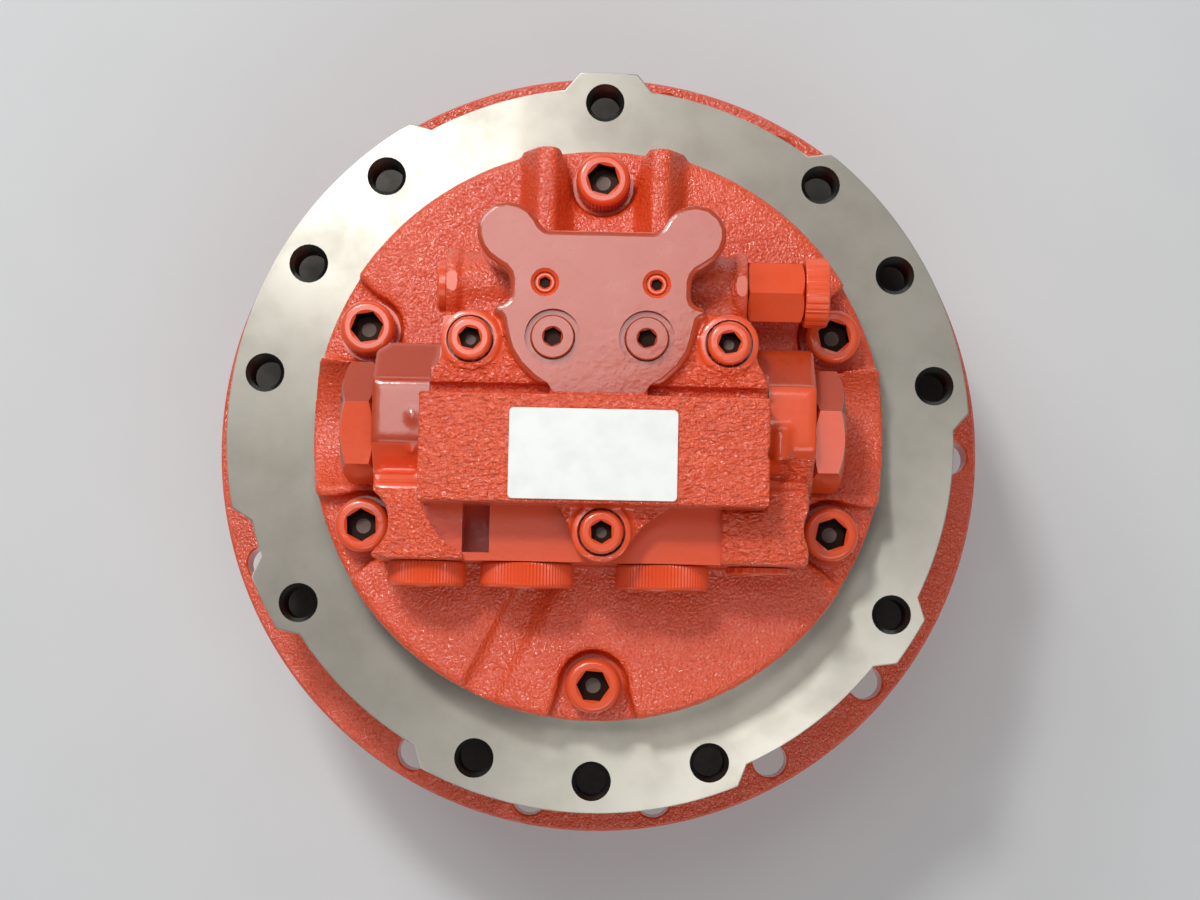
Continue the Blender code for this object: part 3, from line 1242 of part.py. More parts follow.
def valve_block(case_body):
    """The block with the machined plate, the label's box and three screw bosses."""
    block = plate("valve_block", plate_outline(), BLOCK_Z, PLATE_TOP_Z)
    label_box = box("label_box", (-BLOCK_LEFT, -BLOCK_FRONT, BLOCK_Z), (BLOCK_RIGHT, BLOCK_BACK, BLOCK_TOP_Z))
    added = [label_box]
    boss = BLOCK_SCREW_HEAD_RADIUS + BOSS_WALL
    boss_height = PLATE_TOP_Z - BOSS_DROP - BLOCK_Z
    for x, y in BLOCK_SCREW_PLACES:
        added.append(rod("screw_boss", boss, (x, y, BLOCK_Z), boss_height, steps=MEDIUM_STEPS))
    for side, edge in ((-1, BLOCK_LEFT), (1, BLOCK_RIGHT)):
        added.append(plate("gusset", gusset_outline(side, edge), BLOCK_Z, PLATE_TOP_Z - GUSSET_DROP))
    join(block, *added)
    holes = []
    for x, y in BLOCK_SCREW_PLACES:
        seat_length = BLOCK_TOP_Z - BLOCK_SCREW_SEAT_Z + OVERRUN
        seat_radius = BLOCK_SCREW_HEAD_RADIUS + 2 * GAP
        seat_base = (x, y, BLOCK_SCREW_SEAT_Z)
        holes.append(rod("screw_seat", seat_radius, seat_base, seat_length, steps=2 * SMALL_STEPS))
        hole_base = (x, y, BLOCK_Z - OVERRUN)
        holes.append(rod("screw_hole", BLOCK_SCREW_RADIUS + GAP, hole_base, PLATE_HEIGHT + OVERRUN))
    for side in (-1, 1):
        shuttle = (side * SHUTTLE_PLUG_SPREAD, SHUTTLE_PLUG_BACK)
        gauge = (side * GAUGE_PLUG_SPREAD, GAUGE_PLUG_BACK)
        sunk = PLATE_TOP_Z - SHUTTLE_FACE_DEPTH
        holes.append(rod("spot_face", SHUTTLE_FACE_RADIUS, (*shuttle, sunk), OVERRUN, steps=MEDIUM_STEPS))
        shuttle_bottom = PLATE_TOP_Z - SHUTTLE_PLUG_DEPTH - GAP
        shuttle_length = SHUTTLE_PLUG_DEPTH + OVERRUN
        holes.append(rod("shuttle_seat", SHUTTLE_PLUG_RADIUS + GAP, (*shuttle, shuttle_bottom), shuttle_length))
        gauge_bottom = PLATE_TOP_Z - GAUGE_PLUG_DEPTH - GAP
        gauge_length = GAUGE_PLUG_DEPTH + OVERRUN
        holes.append(rod("gauge_seat", GAUGE_PLUG_RADIUS + GAP, (*gauge, gauge_bottom), gauge_length))
    cut(block, *holes)
    node(block, case_body, "red_enamel")


def valve_block_fittings(case_body):
    """Screws, flush plugs and the data plate of the valve block."""
    for i, place in enumerate(BLOCK_SCREW_PLACES):
        socket_screw(
            f"block_screw_{i + 1}",
            place,
            BLOCK_SCREW_SEAT_Z,
            BLOCK_SCREW_RADIUS,
            BLOCK_SCREW_HEAD_RADIUS,
            BLOCK_SCREW_HEAD_HEIGHT,
            BLOCK_SCREW_LENGTH,
            BLOCK_SCREW_SOCKET,
            case_body,
        )
    for side, word in ((-1, "left"), (1, "right")):
        flush_plug(
            f"shuttle_plug_{word}",
            (side * SHUTTLE_PLUG_SPREAD, SHUTTLE_PLUG_BACK),
            SHUTTLE_PLUG_RADIUS,
            SHUTTLE_PLUG_DEPTH,
            SHUTTLE_PLUG_SOCKET,
            PLATE_TOP_Z,
            case_body,
        )
        flush_plug(
            f"gauge_plug_{word}",
            (side * GAUGE_PLUG_SPREAD, GAUGE_PLUG_BACK),
            GAUGE_PLUG_RADIUS,
            GAUGE_PLUG_DEPTH,
            GAUGE_PLUG_SOCKET,
            PLATE_TOP_Z - GAUGE_PLUG_SINK,
            case_body,
        )
    label_bottom = BLOCK_TOP_Z + GAP
    label = box(
        "data_plate",
        (-DATA_PLATE_LEFT, -DATA_PLATE_FRONT, label_bottom),
        (DATA_PLATE_RIGHT, DATA_PLATE_BACK, label_bottom + DATA_PLATE_THICKNESS),
    )
    node(label, case_body, "plain_label")


def flush_plug(name, place, radius, depth, socket, top, carrier):
    bottom = PLATE_TOP_Z - depth
    plug = rod(name, radius, (*place, bottom), top - bottom)
    cut(plug, rod("plug_socket", socket, (*place, (bottom + top) / 2), depth, steps=6))
    node(plug, carrier, "red_enamel")


def spool_parts(case_body, spool_body):
    """The counterbalance spool with its three lands, and the hexagon cap at each end of its bore."""
    sides = (
        (-1, "left", COLLAR_LEFT, SPOOL_CAP_LEFT_LENGTH),
        (1, "right", COLLAR_RIGHT, SPOOL_CAP_RIGHT_LENGTH),
    )
    for side, word, reach, length in sides:
        outward = X_AXIS * side
        cap = rod(
            f"spool_cap_{word}", SPOOL_CAP_RADIUS, (side * (reach + GAP), 0, SPOOL_Z), length, outward, 6
        )
        stem_base = (side * (reach - SPOOL_CAP_STEM_LENGTH), 0, SPOOL_Z)
        stem_length = SPOOL_CAP_STEM_LENGTH + length / 2
        join(cap, rod("cap_stem", SPOOL_CAP_STEM_RADIUS, stem_base, stem_length, outward, MEDIUM_STEPS))
        node(cap, case_body, "red_enamel")
    keep_off = SPOOL_CAP_STEM_LENGTH + SPOOL_TRAVEL + SPOOL_END_ROOM
    low, high = keep_off - COLLAR_LEFT, COLLAR_RIGHT - keep_off
    spool = rod("counterbalance_spool", SPOOL_RADIUS * SPOOL_NECK_SHARE, (low, 0, 0), high - low, X_AXIS)
    middle = (low + high - SPOOL_LAND_LENGTH) / 2
    for start in (low, middle, high - SPOOL_LAND_LENGTH):
        join(spool, rod("spool_land", SPOOL_RADIUS, (start, 0, 0), SPOOL_LAND_LENGTH, X_AXIS))
    node(spool, spool_body, "ground_steel")


def pilot_parts(case_body):
    """The plug on the left pilot boss, and the adapter and dust cap on the right one."""
    base = (-PILOT_BOSS_LEFT - GAP, PILOT_BACK, PILOT_Z)
    plug = rod("pilot_plug_left", PILOT_PLUG_RADIUS, base, PILOT_PLUG_HEAD, -X_AXIS, MEDIUM_STEPS)
    stem_length = PILOT_STEM_LENGTH + PILOT_PLUG_HEAD / 2
    stem_base = (PILOT_STEM_LENGTH - PILOT_BOSS_LEFT, PILOT_BACK, PILOT_Z)
    join(plug, rod("pilot_stem", PILOT_STEM_RADIUS, stem_base, stem_length, -X_AXIS))
    socket_base = (-PILOT_BOSS_LEFT + PILOT_STEM_LENGTH / 2, PILOT_BACK, PILOT_Z)
    cut(plug, rod("pilot_socket", PILOT_SOCKET, socket_base, PILOT_STEM_LENGTH, -X_AXIS, 6))
    node(plug, case_body, "red_enamel")

    face = PILOT_BOSS_RIGHT + GAP
    adapter_base = (face, PILOT_BACK, PILOT_Z)
    adapter = rod("pilot_adapter_right", PILOT_ADAPTER_RADIUS, adapter_base, PILOT_ADAPTER_LENGTH, X_AXIS, 6)
    stem_base = (PILOT_BOSS_RIGHT - PILOT_STEM_LENGTH, PILOT_BACK, PILOT_Z)
    stem_length = PILOT_STEM_LENGTH + PILOT_ADAPTER_LENGTH / 2
    join(adapter, rod("adapter_stem", PILOT_STEM_RADIUS, stem_base, stem_length, X_AXIS))
    mouth = face + PILOT_ADAPTER_LENGTH
    bore_base = (mouth - PILOT_CAP_STEM_LENGTH - GAP, PILOT_BACK, PILOT_Z)
    bore_length = PILOT_CAP_STEM_LENGTH + OVERRUN
    cut(adapter, rod("adapter_bore", PILOT_CAP_STEM_RADIUS + GAP, bore_base, bore_length, X_AXIS))
    node(adapter, case_body, "red_enamel")

    cap_base = (mouth + GAP, PILOT_BACK, PILOT_Z)
    cap = rod("pilot_dust_cap", PILOT_CAP_RADIUS, cap_base, PILOT_CAP_LENGTH, X_AXIS, MEDIUM_STEPS)
    stem_base = (mouth - PILOT_CAP_STEM_LENGTH, PILOT_BACK, PILOT_Z)
    stem_length = PILOT_CAP_STEM_LENGTH + PILOT_CAP_LENGTH / 2
    join(cap, rod("dust_cap_stem", PILOT_CAP_STEM_RADIUS, stem_base, stem_length, X_AXIS))
    node(cap, case_body, "red_plastic_cap")


def port_caps(case_body):
    """The dust caps in the hose ports, each a knurled head on a plug."""
    for name, (x, radius) in PORT_CAPS.items():
        head = PORT_CAP_HEADS[name]
        cap = rod(name, radius, (x, -BODY_FRONT - GAP, PORT_Z), head, -Y_AXIS, MEDIUM_STEPS)
        stem_base = (x, PORT_CAP_STEM_LENGTH - BODY_FRONT, PORT_Z)
        stem_length = PORT_CAP_STEM_LENGTH + head / 2
        join(cap, rod("port_stem", radius - PORT_CAP_LIP, stem_base, stem_length, -Y_AXIS))
        node(cap, case_body, "red_plastic_cap")


def main():
    case_body = body("case_body")
    hub_body = body("hub_body")
    shaft_body = body("shaft_body")
    carrier_body = body("carrier_body")
    swash_body = body("swash_body", (0, 0, CAVITY_FLOOR_Z))
    brake_body = body("brake_piston_body")
    spool_body = body("spool_body", (0, 0, SPOOL_Z))
    planet_1_bodies = []
    for direction in planet_directions(PLANET_1_START):
        place = polar(PIN_1_CIRCLE, direction)
        planet_1_bodies.append(body("planet_1_body", (place.x, place.y, 0)))
    planet_2_bodies = []
    for direction in planet_directions(PLANET_2_START):
        place = polar(PIN_2_CIRCLE, direction)
        planet_2_bodies.append(body("planet_2_body", (place.x, place.y, 0)))

    motor_case(case_body)
    hub(hub_body)
    end_cover(hub_body)
    main_bearings(case_body, hub_body)
    first_stage(shaft_body, carrier_body, planet_1_bodies)
    second_stage(case_body, carrier_body, planet_2_bodies)
    motor_shaft(shaft_body, case_body)
    cylinder_block(shaft_body)
    valve_plate(case_body)
    swash_plate(swash_body)
    parking_brake(shaft_body, brake_body)
    rear_cover(case_body)
    valve_block(case_body)
    valve_block_fittings(case_body)
    spool_parts(case_body, spool_body)
    pilot_parts(case_body)
    port_caps(case_body)


clear_scene()
drive = new_collection("excavator_final_drive")
cutters = new_collection("cutters")
main()
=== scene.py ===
"""The looks of a track final drive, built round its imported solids, laid out as a Blender add-on.

The sizes in the tables are in millimetres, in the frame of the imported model: the drive's axis is Z,
its end cover stands on the floor at height 0, and the motor side is up.
"""

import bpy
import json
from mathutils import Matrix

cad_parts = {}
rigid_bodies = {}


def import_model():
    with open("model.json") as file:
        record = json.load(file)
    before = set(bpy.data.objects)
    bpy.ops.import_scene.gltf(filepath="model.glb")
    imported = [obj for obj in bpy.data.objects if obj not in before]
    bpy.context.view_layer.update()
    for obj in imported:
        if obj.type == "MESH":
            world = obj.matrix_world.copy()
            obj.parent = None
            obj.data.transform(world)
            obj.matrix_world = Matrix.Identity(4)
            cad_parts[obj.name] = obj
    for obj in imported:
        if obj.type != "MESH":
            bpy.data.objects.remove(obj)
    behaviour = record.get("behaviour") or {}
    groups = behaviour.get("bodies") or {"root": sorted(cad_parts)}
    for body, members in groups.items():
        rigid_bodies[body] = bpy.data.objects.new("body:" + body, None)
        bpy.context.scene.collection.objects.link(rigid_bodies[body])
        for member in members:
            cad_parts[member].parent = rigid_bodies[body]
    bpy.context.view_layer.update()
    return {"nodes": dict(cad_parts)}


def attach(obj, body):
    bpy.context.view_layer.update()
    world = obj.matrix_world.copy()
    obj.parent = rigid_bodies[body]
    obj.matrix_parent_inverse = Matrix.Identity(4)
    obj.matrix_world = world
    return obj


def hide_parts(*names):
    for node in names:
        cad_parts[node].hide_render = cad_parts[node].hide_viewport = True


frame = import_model()

import json
import math

import bmesh
import bpy
from bpy.props import FloatProperty, FloatVectorProperty, IntProperty, PointerProperty
from mathutils import Matrix, Vector

bl_info = {
    "name": "Final Drive Looks",
    "version": (1, 0, 0),
    "blender": (4, 5, 0),
    "location": "3D View > Sidebar > Final Drive",
    "description": "Builds the castings, machined faces, screws and caps of a track final drive",
    "category": "Add Mesh",
}

MM = 0.001
MERGE = 0.00001
SHARP = math.radians(32)
CORNER = math.radians(60)

# A height above the whole drive, where cutters end
ABOVE = 300

# Material places that every painted piece shares, in the order of its slots; the last place, a darker enamel,
# is painted shade
CAST, COARSE, MACHINED, DARK, SOCKET_FLOOR, SHADE_ENAMEL = 0, 1, 2, 3, 4, 5

# Material place of the holes in the case, beside its faced iron
TAPPED = 1

# Heights of the solids
CASE_BOTTOM = 98.3
FLANGE_TOP = 136.3
RING_BACK = 178.3
RING_FACE = 196.3
CASE_TOP = 203.3
COVER_BACK = 203.6
COVER_FACE = 225.3
SCREW_SEAT = 217.3
BODY_TOP = 262.3
PAD_TOP = 266.3
BLOCK_BACK = 262.6
BLOCK_SEAT = 272.3
BOSS_TOP = 279.3
PLATE_TOP = 282.3
LABEL_BLOCK_TOP = 288.3
LABEL_TOP = 289.4
SPOOL_LEVEL = 240.3
PILOT_LEVEL = 248.3
PORT_LEVEL = 244.8

# Places of the screws, plugs and ports. A cover screw is (radius of its circle, angle)
COVER_SCREWS = [(97, angle) for angle in (90, 157, 203, 270, -23, 23)]
BLOCK_SCREWS = ((-46.8, 28), (46.8, 28), (2, -41))
FRAME_CIRCLE = 135
FRAME_HOLES = (90, 50, 30, 10, -30, -70, -90, -110, -150, 170, 150, 130)
SPROCKET_CIRCLE = 148.4
SPROCKET_HOLES = [angle for angle in range(0, 360, 20) if angle not in (340, 220, 100)]
PIN_CIRCLE = 67.5
OIL_PLUG_CIRCLE = 54.26
SHUTTLE_PLUG = (17, 29)
GAUGE_PLUG = (20.2, 48.7)
PILOT_Y = 51.8
PILOT_LEFT = -57.5
PILOT_RIGHT = 54.5
PORT_FRONT = -51.5
COLLAR_LEFT = -83
COLLAR_RIGHT = 80

# Each port cap's place along X, its radius and the height of its head
PORT_CAPS = {
    "drain_port_cap": (-62.9, 14.5, 9),
    "main_port_cap_left": (-25.5, 17.4, 9),
    "main_port_cap_right": (25, 17.4, 9),
    "speed_port_cap": (60.9, 12.2, 2.5),
}

# The photo's camera: place, lens, and its tilt and turn in degrees
CAMERA_PLACE = (2.264, -76.88, 1093)
CAMERA_LENS = 68.1
CAMERA_TILT = 4.6
CAMERA_TURN = 1.18

# The room's light, how much less of it glossy faces mirror, and how much more the camera sees
ROOM_LIGHT = 0.34
ROOM_UNMIRRORED = -0.2
ROOM_SEEN = 0.3


# Shapes


def hex_colour(text):
    """An sRGB hex colour as linear red, green, blue and alpha."""
    parts = [int(text[i : i + 2], 16) / 255 for i in (1, 3, 5)]
    return [p / 12.92 if p <= 0.04045 else ((p + 0.055) / 1.055) ** 2.4 for p in parts] + [1]


def polar(radius, degrees):
    turn = math.radians(degrees)
    return radius * math.cos(turn), radius * math.sin(turn)


def spun(profile, steps, look=CAST):
    """A turned shape from (radius, height) points. One that touches the axis is closed by its poles."""
    shape = bmesh.new()
    line = [shape.verts.new((radius * MM, 0, height * MM)) for radius, height in profile]
    edges = [shape.edges.new(pair) for pair in zip(line, line[1:])]
    if min(radius for radius, _ in profile) > 0:
        edges.append(shape.edges.new((line[-1], line[0])))
    bmesh.ops.spin(shape, geom=line + edges, axis=(0, 0, 1), angle=2 * math.pi, steps=steps, use_merge=True)
    return closed(shape, look)


def closed(shape, look=CAST):
    """Merges doubles, turns the faces outwards and gives them one place among the materials."""
    bmesh.ops.remove_doubles(shape, verts=shape.verts, dist=MERGE)
    bmesh.ops.recalc_face_normals(shape, faces=shape.faces)
    for face in shape.faces:
        face.material_index = look
    return shape


def bevelled(shape, parts, width, affect, segments):
    settings = {"affect": affect, "segments": segments, "profile": 0.5, "clamp_overlap": True, "material": -1}
    bmesh.ops.bevel(shape, geom=parts, offset=width * MM, **settings)


def prism(outline, bottom, top, corner=0, look=CAST):
    """A flat outline raised from bottom to top, its corners rounded."""
    shape = bmesh.new()
    face = shape.faces.new([shape.verts.new((x * MM, y * MM, bottom * MM)) for x, y in outline])
    if corner:
        bevelled(shape, shape.verts[:], corner, "VERTICES", 5)
        face = shape.faces[:][0]
    made = bmesh.ops.extrude_face_region(shape, geom=[face])["geom"]
    top_verts = [item for item in made if isinstance(item, bmesh.types.BMVert)]
    bmesh.ops.translate(shape, vec=(0, 0, (top - bottom) * MM), verts=top_verts)
    return closed(shape, look)


def block(low, high, look=CAST):
    shape = bmesh.new()
    bmesh.ops.create_cube(shape, size=MM)
    low, high = Vector(low), Vector(high)
    bmesh.ops.scale(shape, vec=high - low, verts=shape.verts)
    bmesh.ops.translate(shape, vec=(low + high) / 2 * MM, verts=shape.verts)
    return closed(shape, look)


def drum(radius, bottom, top, place=(0, 0), steps=32, look=MACHINED, mouth=0):
    """An upright cylinder. mouth widens its upper end by a cone of that depth."""
    profile = [(0, bottom), (radius, bottom), (radius, top - mouth), (radius + mouth, top), (0, top)]
    if not mouth:
        profile.pop(3)
    return moved(spun(profile, steps, look), *place)


def laid(shape, place, direction):
    """Turns a shape made along Z so that it runs from place along direction."""
    turn = Vector((0, 0, 1)).rotation_difference(Vector(direction)).to_matrix().to_4x4()
    bmesh.ops.transform(shape, matrix=Matrix.Translation(Vector(place) * MM) @ turn, verts=shape.verts)
    return shape


def moved(shape, x=0, y=0, z=0):
    bmesh.ops.translate(shape, vec=(x * MM, y * MM, z * MM), verts=shape.verts)
    return shape


def turned_about(shape, degrees, axis="Z"):
    turn = Matrix.Rotation(math.radians(degrees), 3, axis)
    bmesh.ops.rotate(shape, matrix=turn, verts=shape.verts)
    return shape


def eased(shape, width):
    """Breaks the sharp edges of a machined shape."""
    edges = [edge for edge in shape.edges if len(edge.link_faces) == 2]
    bevelled(shape, [edge for edge in edges if edge.calc_face_angle(0) > CORNER], width, "EDGES", 2)
    return shape


def ribbed(rings, ribs, look=CAST):
    """A closed turned shape. A ring is (radius, height), or (crest, root, height) where it has ribs."""
    shape = bmesh.new()
    steps = 2 * ribs
    bmesh.ops.create_circle(shape, radius=MM, segments=steps, cap_ends=False)
    loop = shape.edges[:]
    for i, (*radii, height) in enumerate(rings):
        if i:
            made = bmesh.ops.extrude_edge_only(shape, edges=loop)["geom"]
            loop = [item for item in made if isinstance(item, bmesh.types.BMEdge)]
        for vert in {vert for edge in loop for vert in edge.verts}:
            turn = math.atan2(vert.co.y, vert.co.x)
            number = round(turn / (2 * math.pi / steps))
            radius = radii[-(number % 2)] * MM
            vert.co = (radius * math.cos(turn), radius * math.sin(turn), height * MM)
    bmesh.ops.holes_fill(shape, edges=[edge for edge in shape.edges if edge.is_boundary], sides=0)
    return closed(shape, look)


def hexagon_bar(radius, bottom, top, look=CAST):
    """An upright hexagon. radius reaches to its corners."""
    shape = bmesh.new()
    ends = {"radius1": radius * MM, "radius2": radius * MM, "depth": (top - bottom) * MM}
    bmesh.ops.create_cone(shape, cap_ends=True, segments=6, **ends)
    return closed(moved(shape, z=(top + bottom) / 2), look)


def octagon_bar(start, end):
    """A collar of the spool bore: an octagon bar along X, standing on a flat."""
    half = 27.3
    corner = half * math.tan(math.pi / 8)
    outline = [(half, -corner), (half, corner), (corner, half), (-corner, half)]
    outline += [(-a, -b) for a, b in outline]
    return laid(prism(outline, 0, end - start, 0.8), (start, 2.5, SPOOL_LEVEL), (1, 0, 0))


def to_mesh(name, shape, looks=()):
    mesh = bpy.data.meshes.new(name)
    shape.to_mesh(mesh)
    shape.free()
    for look in looks:
        mesh.materials.append(look)
    return mesh


def gathered(shapes):
    whole = bmesh.new()
    for shape in shapes:
        mesh = to_mesh("part", shape)
        whole.from_mesh(mesh)
        bpy.data.meshes.remove(mesh)
    return whole


def to_object(name, shape, looks):
    made = bpy.data.objects.new(name, to_mesh(name, shape, looks))
    bpy.context.scene.collection.objects.link(made)
    return made


def settled(obj):
    """Applies the modifiers of a piece to its mesh."""
    graph = bpy.context.evaluated_depsgraph_get()
    mesh = bpy.data.meshes.new_from_object(obj.evaluated_get(graph))
    before = obj.data
    obj.modifiers.clear()
    obj.data = mesh
    bpy.data.meshes.remove(before)
    return obj


def combined(obj, operation, shapes):
    """Joins shapes to a piece, or cuts them from it, and keeps each face's place among the materials."""
    tools = bpy.data.collections.new("tools")
    bpy.context.scene.collection.children.link(tools)
    for shape in shapes:
        mesh = to_mesh("tool", shape, obj.data.materials)
        tools.objects.link(bpy.data.objects.new("tool", mesh))
    step = obj.modifiers.new("combined", "BOOLEAN")
    step.operation = operation
    step.solver = "EXACT"
    step.material_mode = "INDEX"
    step.operand_type = "COLLECTION"
    step.collection = tools
    settled(obj)
    for tool in tools.objects[:]:
        mesh = tool.data
        bpy.data.objects.remove(tool)
        bpy.data.meshes.remove(mesh)
    bpy.data.collections.remove(tools)
    return obj


def cut(obj, shapes):
    return combined(obj, "DIFFERENCE", shapes)


def cast(obj, voxel, passes, keep):
    """Gives a piece the soft edges and fillets of a sand casting: one skin of even faces, smoothed."""
    skin = obj.modifiers.new("skin", "REMESH")
    skin.mode = "VOXEL"
    skin.voxel_size = voxel
    soft = obj.modifiers.new("soft", "SMOOTH")
    soft.factor = 0.5
    soft.iterations = passes
    fewer = obj.modifiers.new("fewer", "DECIMATE")
    fewer.ratio = keep
    return settled(obj)


def zoned(obj, *zones):
    """Gives the faces that lie in a box another place among the materials. A zone is (low, high, look)."""
    for face in obj.data.polygons:
        for low, high, place in zones:
            if all(a * MM <= c <= b * MM for a, c, b in zip(low, face.center, high)):
                face.material_index = place


def finished(obj, node, body="case"):
    """Shades a piece with its large faces flat, fixes it to the body that it rides on, and hides the solid
    that it stands for.
    """
    obj.data.shade_smooth()
    obj.data.set_sharp_from_angle(angle=SHARP)
    even = obj.modifiers.new("even", "WEIGHTED_NORMAL")
    even.keep_sharp = True
    even.weight = 80
    settled(obj)
    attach(obj, body)
    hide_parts(node)


# Materials


def new_node(tree, kind, settings=None, links=None):
    """Adds a node. A setting is an input of it by name or number, or a property of it."""
    node = tree.nodes.new(kind)
    for name, value in (settings or {}).items():
        if isinstance(name, int) or name in node.inputs:
            node.inputs[name].default_value = value
        else:
            setattr(node, name, value)
    for name, source in (links or {}).items():
        tree.links.new(source, node.inputs[name])
    return node


def new_material(name):
    material = bpy.data.materials.new(name)
    material.use_nodes = True
    tree = material.node_tree
    tree.nodes.clear()
    place = new_node(tree, "ShaderNodeTexCoord").outputs["Object"]
    return material, tree, place


def specks(tree, size, place, detail=2, **more):
    """A noise with grains of this size."""
    settings = {"Scale": 1 / (size * MM), "Detail": detail, **more}
    return new_node(tree, "ShaderNodeTexNoise", settings, {"Vector": place}).outputs["Fac"]


def turned_marks(tree, size, place):
    """A noise that changes with the distance from the axis: the rings that a lathe leaves."""
    apart = new_node(tree, "ShaderNodeSeparateXYZ", links={"Vector": place}).outputs
    flat = new_node(tree, "ShaderNodeCombineXYZ", links={"X": apart["X"], "Y": apart["Y"]})
    radius = new_node(tree, "ShaderNodeVectorMath", {"operation": "LENGTH"}, {0: flat.outputs["Vector"]})
    settings = {"noise_dimensions": "1D", "Scale": 1 / (size * MM), "Detail": 3}
    return new_node(tree, "ShaderNodeTexNoise", settings, {"W": radius.outputs["Value"]}).outputs["Fac"]


def spread(tree, value, low, high, least, most):
    """A value between low and high, spread out between least and most."""
    settings = {"From Min": low, "From Max": high, "To Min": least, "To Max": most}
    return new_node(tree, "ShaderNodeMapRange", settings, {"Value": value}).outputs["Result"]


def blended(tree, share, first, second):
    """Two colours mixed. The first is a colour, or else comes from another node."""
    settings, links = {"data_type": "RGBA", 7: second}, {0: share}
    (links if isinstance(first, bpy.types.NodeSocket) else settings)[6] = first
    return new_node(tree, "ShaderNodeMix", settings, links).outputs[2]


def raised(tree, height, depth):
    settings = {"Strength": 1, "Distance": depth * MM}
    return new_node(tree, "ShaderNodeBump", settings, {"Height": height}).outputs["Normal"]


def shaded(material, settings, links):
    """Ends a material with its shader."""
    tree = material.node_tree
    shader = new_node(tree, "ShaderNodeBsdfPrincipled", settings, links)
    new_node(tree, "ShaderNodeOutputMaterial", links={"Surface": shader.outputs["BSDF"]})
    return material


def enamel(name, grain, depth, stretch, roughness, coat, colours):
    """Gloss alkyd enamel on iron. grain and depth are the size and height of the surface under it."""
    material, tree, place = new_material(name)
    shifted = new_node(tree, "ShaderNodeMapping", {"Scale": (1, stretch, 1)}, {"Vector": place})
    skin = specks(tree, grain, shifted.outputs["Vector"], Roughness=0.5, Distortion=0.35)
    swell = specks(tree, 4.5 * grain, place)
    drift = specks(tree, 28, place)
    base = blended(tree, spread(tree, skin, 0.3, 0.46, 0, 1), colours[1], colours[0])
    multiply_add = {"operation": "MULTIPLY_ADD", 1: 0.9}
    height = new_node(tree, "ShaderNodeMath", multiply_add, {0: swell, 2: skin})
    relief = raised(tree, height.outputs["Value"], depth)
    links = {
        "Base Color": blended(tree, spread(tree, drift, 0.35, 0.7, 0, 0.55), base, colours[2]),
        "Roughness": spread(tree, swell, 0.3, 0.7, roughness, roughness + 0.14),
        "Normal": relief,
        "Coat Normal": relief,
    }
    return shaded(material, {"IOR": 1.5, "Coat Weight": coat, "Coat Roughness": 0.12}, links)


def enamel_colours(lift, mottle):
    """The enamel, its shade in the valleys and its worn patch. mottle sets how far the three lie apart."""
    lit = [channel * lift for channel in bpy.context.scene.final_drive_colours.enamel]
    valley = [channel * (1 - share * mottle) for channel, share in zip(lit, (0.3, 0.5, 0.5))]
    patch = [channel * (1 - share * mottle) for channel, share in zip(lit, (0.12, 0.26, 0.2))]
    return lit + [1], valley + [1], patch + [1]


def sand_cast_enamel():
    """Enamel on a fine sand casting: even grains of about a millimetre that each catch the light."""
    return enamel("sand_cast_enamel", 1.15, 0.75, 1, 0.28, 1, enamel_colours(0.96, 0.9))


def wrinkled_cast_enamel():
    """Enamel on a coarse casting: leathery wrinkles about 3 mm long that lie across the block."""
    return enamel("wrinkled_cast_enamel", 2.1, 2, 1.7, 0.25, 1, enamel_colours(0.98, 0.9))


def machined_enamel():
    """Enamel on a machined piece: smooth and even, with the faint orange peel of a sprayed coat."""
    return enamel("machined_enamel", 1.8, 0.04, 1, 0.28, 0.8, enamel_colours(0.96, 0.14))


def painted_shade_enamel():
    """A darker, glossier copy of the enamel: painted shade on the milled T-shaped face, its plugs, the left
    collar and the upper facets of the collars and caps.
    """
    return enamel("painted_shade_enamel", 2.4, 0.04, 1, 0.26, 1, enamel_colours(0.56, 0.3))


def moulded_cap_plastic():
    """A polyethylene dust cap that was sprayed over: even colour, soft gloss, faint flow marks."""
    return enamel("moulded_cap_plastic", 3, 0.015, 1, 0.34, 0.5, enamel_colours(1.03, 0.15))


def metal(name, colour, second, roughness, unevenness, anisotropy, grain, depth, turned):
    """A bare metal. turned marks run round the piece's axis, and otherwise the grain has no direction."""
    material, tree, place = new_material(name)
    marks = turned_marks(tree, grain, place) if turned else specks(tree, grain, place, 3)
    haze = specks(tree, 22, place, 5, Roughness=0.62)
    stain = spread(tree, haze, 0.42, 0.72, 0, 0.45)
    links = {
        "Base Color": blended(tree, stain, hex_colour(colour), hex_colour(second)),
        "Roughness": spread(tree, haze, 0.3, 0.7, roughness - unevenness, roughness + unevenness),
        "Normal": raised(tree, marks, depth),
    }
    if turned:
        around = new_node(tree, "ShaderNodeTangent", {"direction_type": "RADIAL", "axis": "Z"})
        links["Tangent"] = around.outputs["Tangent"]
    settings = {"Metallic": 1, "Anisotropic": anisotropy, "Anisotropic Rotation": 0.25}
    return shaded(material, settings, links)


def faced_iron():
    """Ductile iron faced on a lathe: fine rings that spread the light across them, and handling stains."""
    return metal("faced_iron", "#CBC8BC", "#B4B1A5", 0.5, 0.05, 0.8, 0.8, 0.012, True)


def tapped_steel():
    """The walls of a tapped hole: cut threads, dark grey steel."""
    return metal("tapped_steel", "#4E504C", "#2E302D", 0.34, 0.06, 0, 0.8, 0.02, False)


def oiled_socket_steel():
    """The inside of a screw's socket and of the gaps round the plugs: black oxide steel, made nearly black as
    painted shade of the deep recess.
    """
    return metal("oiled_socket_steel", "#33221E", "#1C1211", 0.5, 0.06, 0, 0.8, 0.02, False)


def socket_floor_steel():
    """The drilled bottom of a screw's socket: dull grey-pink steel, lighter than the socket's walls."""
    return metal("socket_floor_steel", "#75645D", "#564641", 0.6, 0.08, 0, 0.8, 0.02, False)


